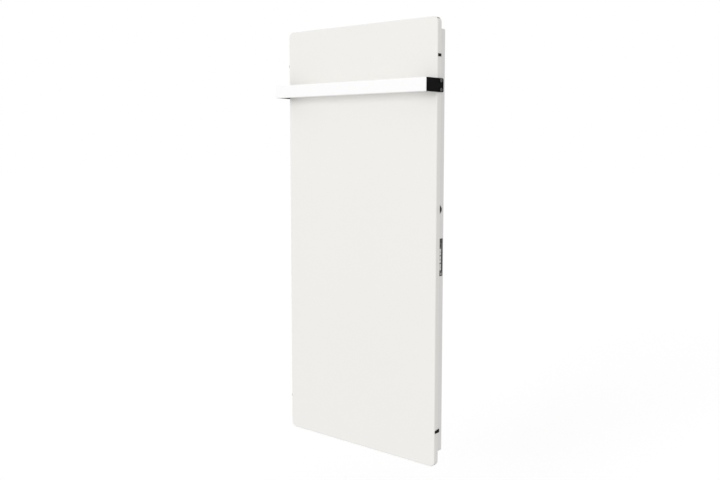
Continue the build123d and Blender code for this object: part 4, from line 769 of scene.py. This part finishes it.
# %% [markdown]
# ## The room
# The heater is shown on plain white. The floor and the world are white to the camera and to mirrors. Most
# of the light comes from all round, as in a tent of white cloth, and the pale floor throws it back up, so
# the sides and the undersides stay light. One low broad sun straight from the front makes the front nearly
# two fifths brighter than the side, and draws the soft short shadow under the towel bar. A higher sun would
# throw that shadow far down the panel. The floor is so large that the heater sees no bright strip of world
# below the horizon, which would make its top lighter than its foot.

# %% World, sun and floor
sky_light = 0.775
sun_light = 1.06
sun_height = 8.0
sun_softness = 34.0
floor_below = 0.22
floor_size = 50.0


def seen_directly(tree):
    """1 for rays from the camera, in a mirror or through glass, and 0 for light that falls on a surface."""
    light_path = tree.nodes.new("ShaderNodeLightPath")
    total = light_path.outputs["Is Camera Ray"]
    for kind in ("Is Glossy Ray", "Is Transmission Ray"):
        either = tree.nodes.new("ShaderNodeMath")
        either.operation = "MAXIMUM"
        tree.links.new(total, either.inputs[0])
        tree.links.new(light_path.outputs[kind], either.inputs[1])
        total = either.outputs[0]
    return total


world = bpy.data.worlds.new("white_room")
bpy.context.scene.world = world
world.use_nodes = True
background = world.node_tree.nodes["Background"]
background.inputs["Color"].default_value = (1.0, 1.0, 1.0, 1.0)
strength = world.node_tree.nodes.new("ShaderNodeMapRange")
strength.inputs["To Min"].default_value = sky_light
strength.inputs["To Max"].default_value = 1.0
world.node_tree.links.new(seen_directly(world.node_tree), strength.inputs["Value"])
world.node_tree.links.new(strength.outputs[0], background.inputs["Strength"])

sun = bpy.data.objects.new("sun", bpy.data.lights.new("sun", "SUN"))
sun.data.energy = sun_light
sun.data.angle = math.radians(sun_softness)
sun.rotation_euler = (math.radians(90 - sun_height), 0.0, 0.0)
bpy.context.scene.collection.objects.link(sun)

floor_glow = 0.35
floor_material = bpy.data.materials.new("pale_floor")
floor_material.use_nodes = True
floor_tree = floor_material.node_tree
floor_shader = floor_tree.nodes["Principled BSDF"]
floor_shader.inputs["Base Color"].default_value = (0.8, 0.8, 0.8, 1.0)
floor_shader.inputs["Roughness"].default_value = 1.0
floor_shader.inputs["Specular IOR Level"].default_value = 0.0
floor_shader.inputs["Emission Color"].default_value = (1.0, 1.0, 1.0, 1.0)
glow = floor_tree.nodes.new("ShaderNodeMath")
glow.operation = "MULTIPLY"
glow.inputs[1].default_value = floor_glow
floor_tree.links.new(seen_directly(floor_tree), glow.inputs[0])
floor_tree.links.new(glow.outputs[0], floor_shader.inputs["Emission Strength"])

floor_z = cad_low.z - floor_below
span = np.linspace(-floor_size / 2, floor_size / 2, 2)
across, away = np.meshgrid(span, span)
floor_grid = np.stack([across, away, np.full_like(across, floor_z)], axis=-1)
floor = bpy.data.objects.new("floor", surface("floor", floor_grid))
floor.data.materials.append(floor_material)
bpy.context.scene.collection.objects.link(floor)

# %% [markdown]
# ## The camera
# The picture is taken from the front right, from about 23 cm above the panel's middle. Its uprights are
# parallel, as with a level camera whose lens is shifted a long way. So large a shift would push the heater
# out of other views, so this camera tilts down by under six degrees, with only a small shift. Its place,
# heading, tilt and focal length are those that bring the panel's edges and the fittings on its side
# nearest to the picture, each measured place counted alike, once the panel's real size is known.

# %% The camera
picture_width = 720
sensor_width = 36.0
focal_pixels = 859.48
camera_place = (1.313592, -1.580685, -0.072983)
camera_heading = 40.432
camera_pitch = 5.729
camera_shift = -0.014

camera = bpy.data.objects.new("camera", bpy.data.cameras.new("camera"))
camera.data.sensor_width = sensor_width
camera.data.lens = focal_pixels * sensor_width / picture_width
camera.data.shift_y = camera_shift
camera.location = camera_place
camera.rotation_euler = (math.radians(90 - camera_pitch), 0.0, math.radians(camera_heading))
bpy.context.scene.collection.objects.link(camera)
bpy.context.scene.camera = camera
bpy.context.scene.view_settings.view_transform = "Standard"
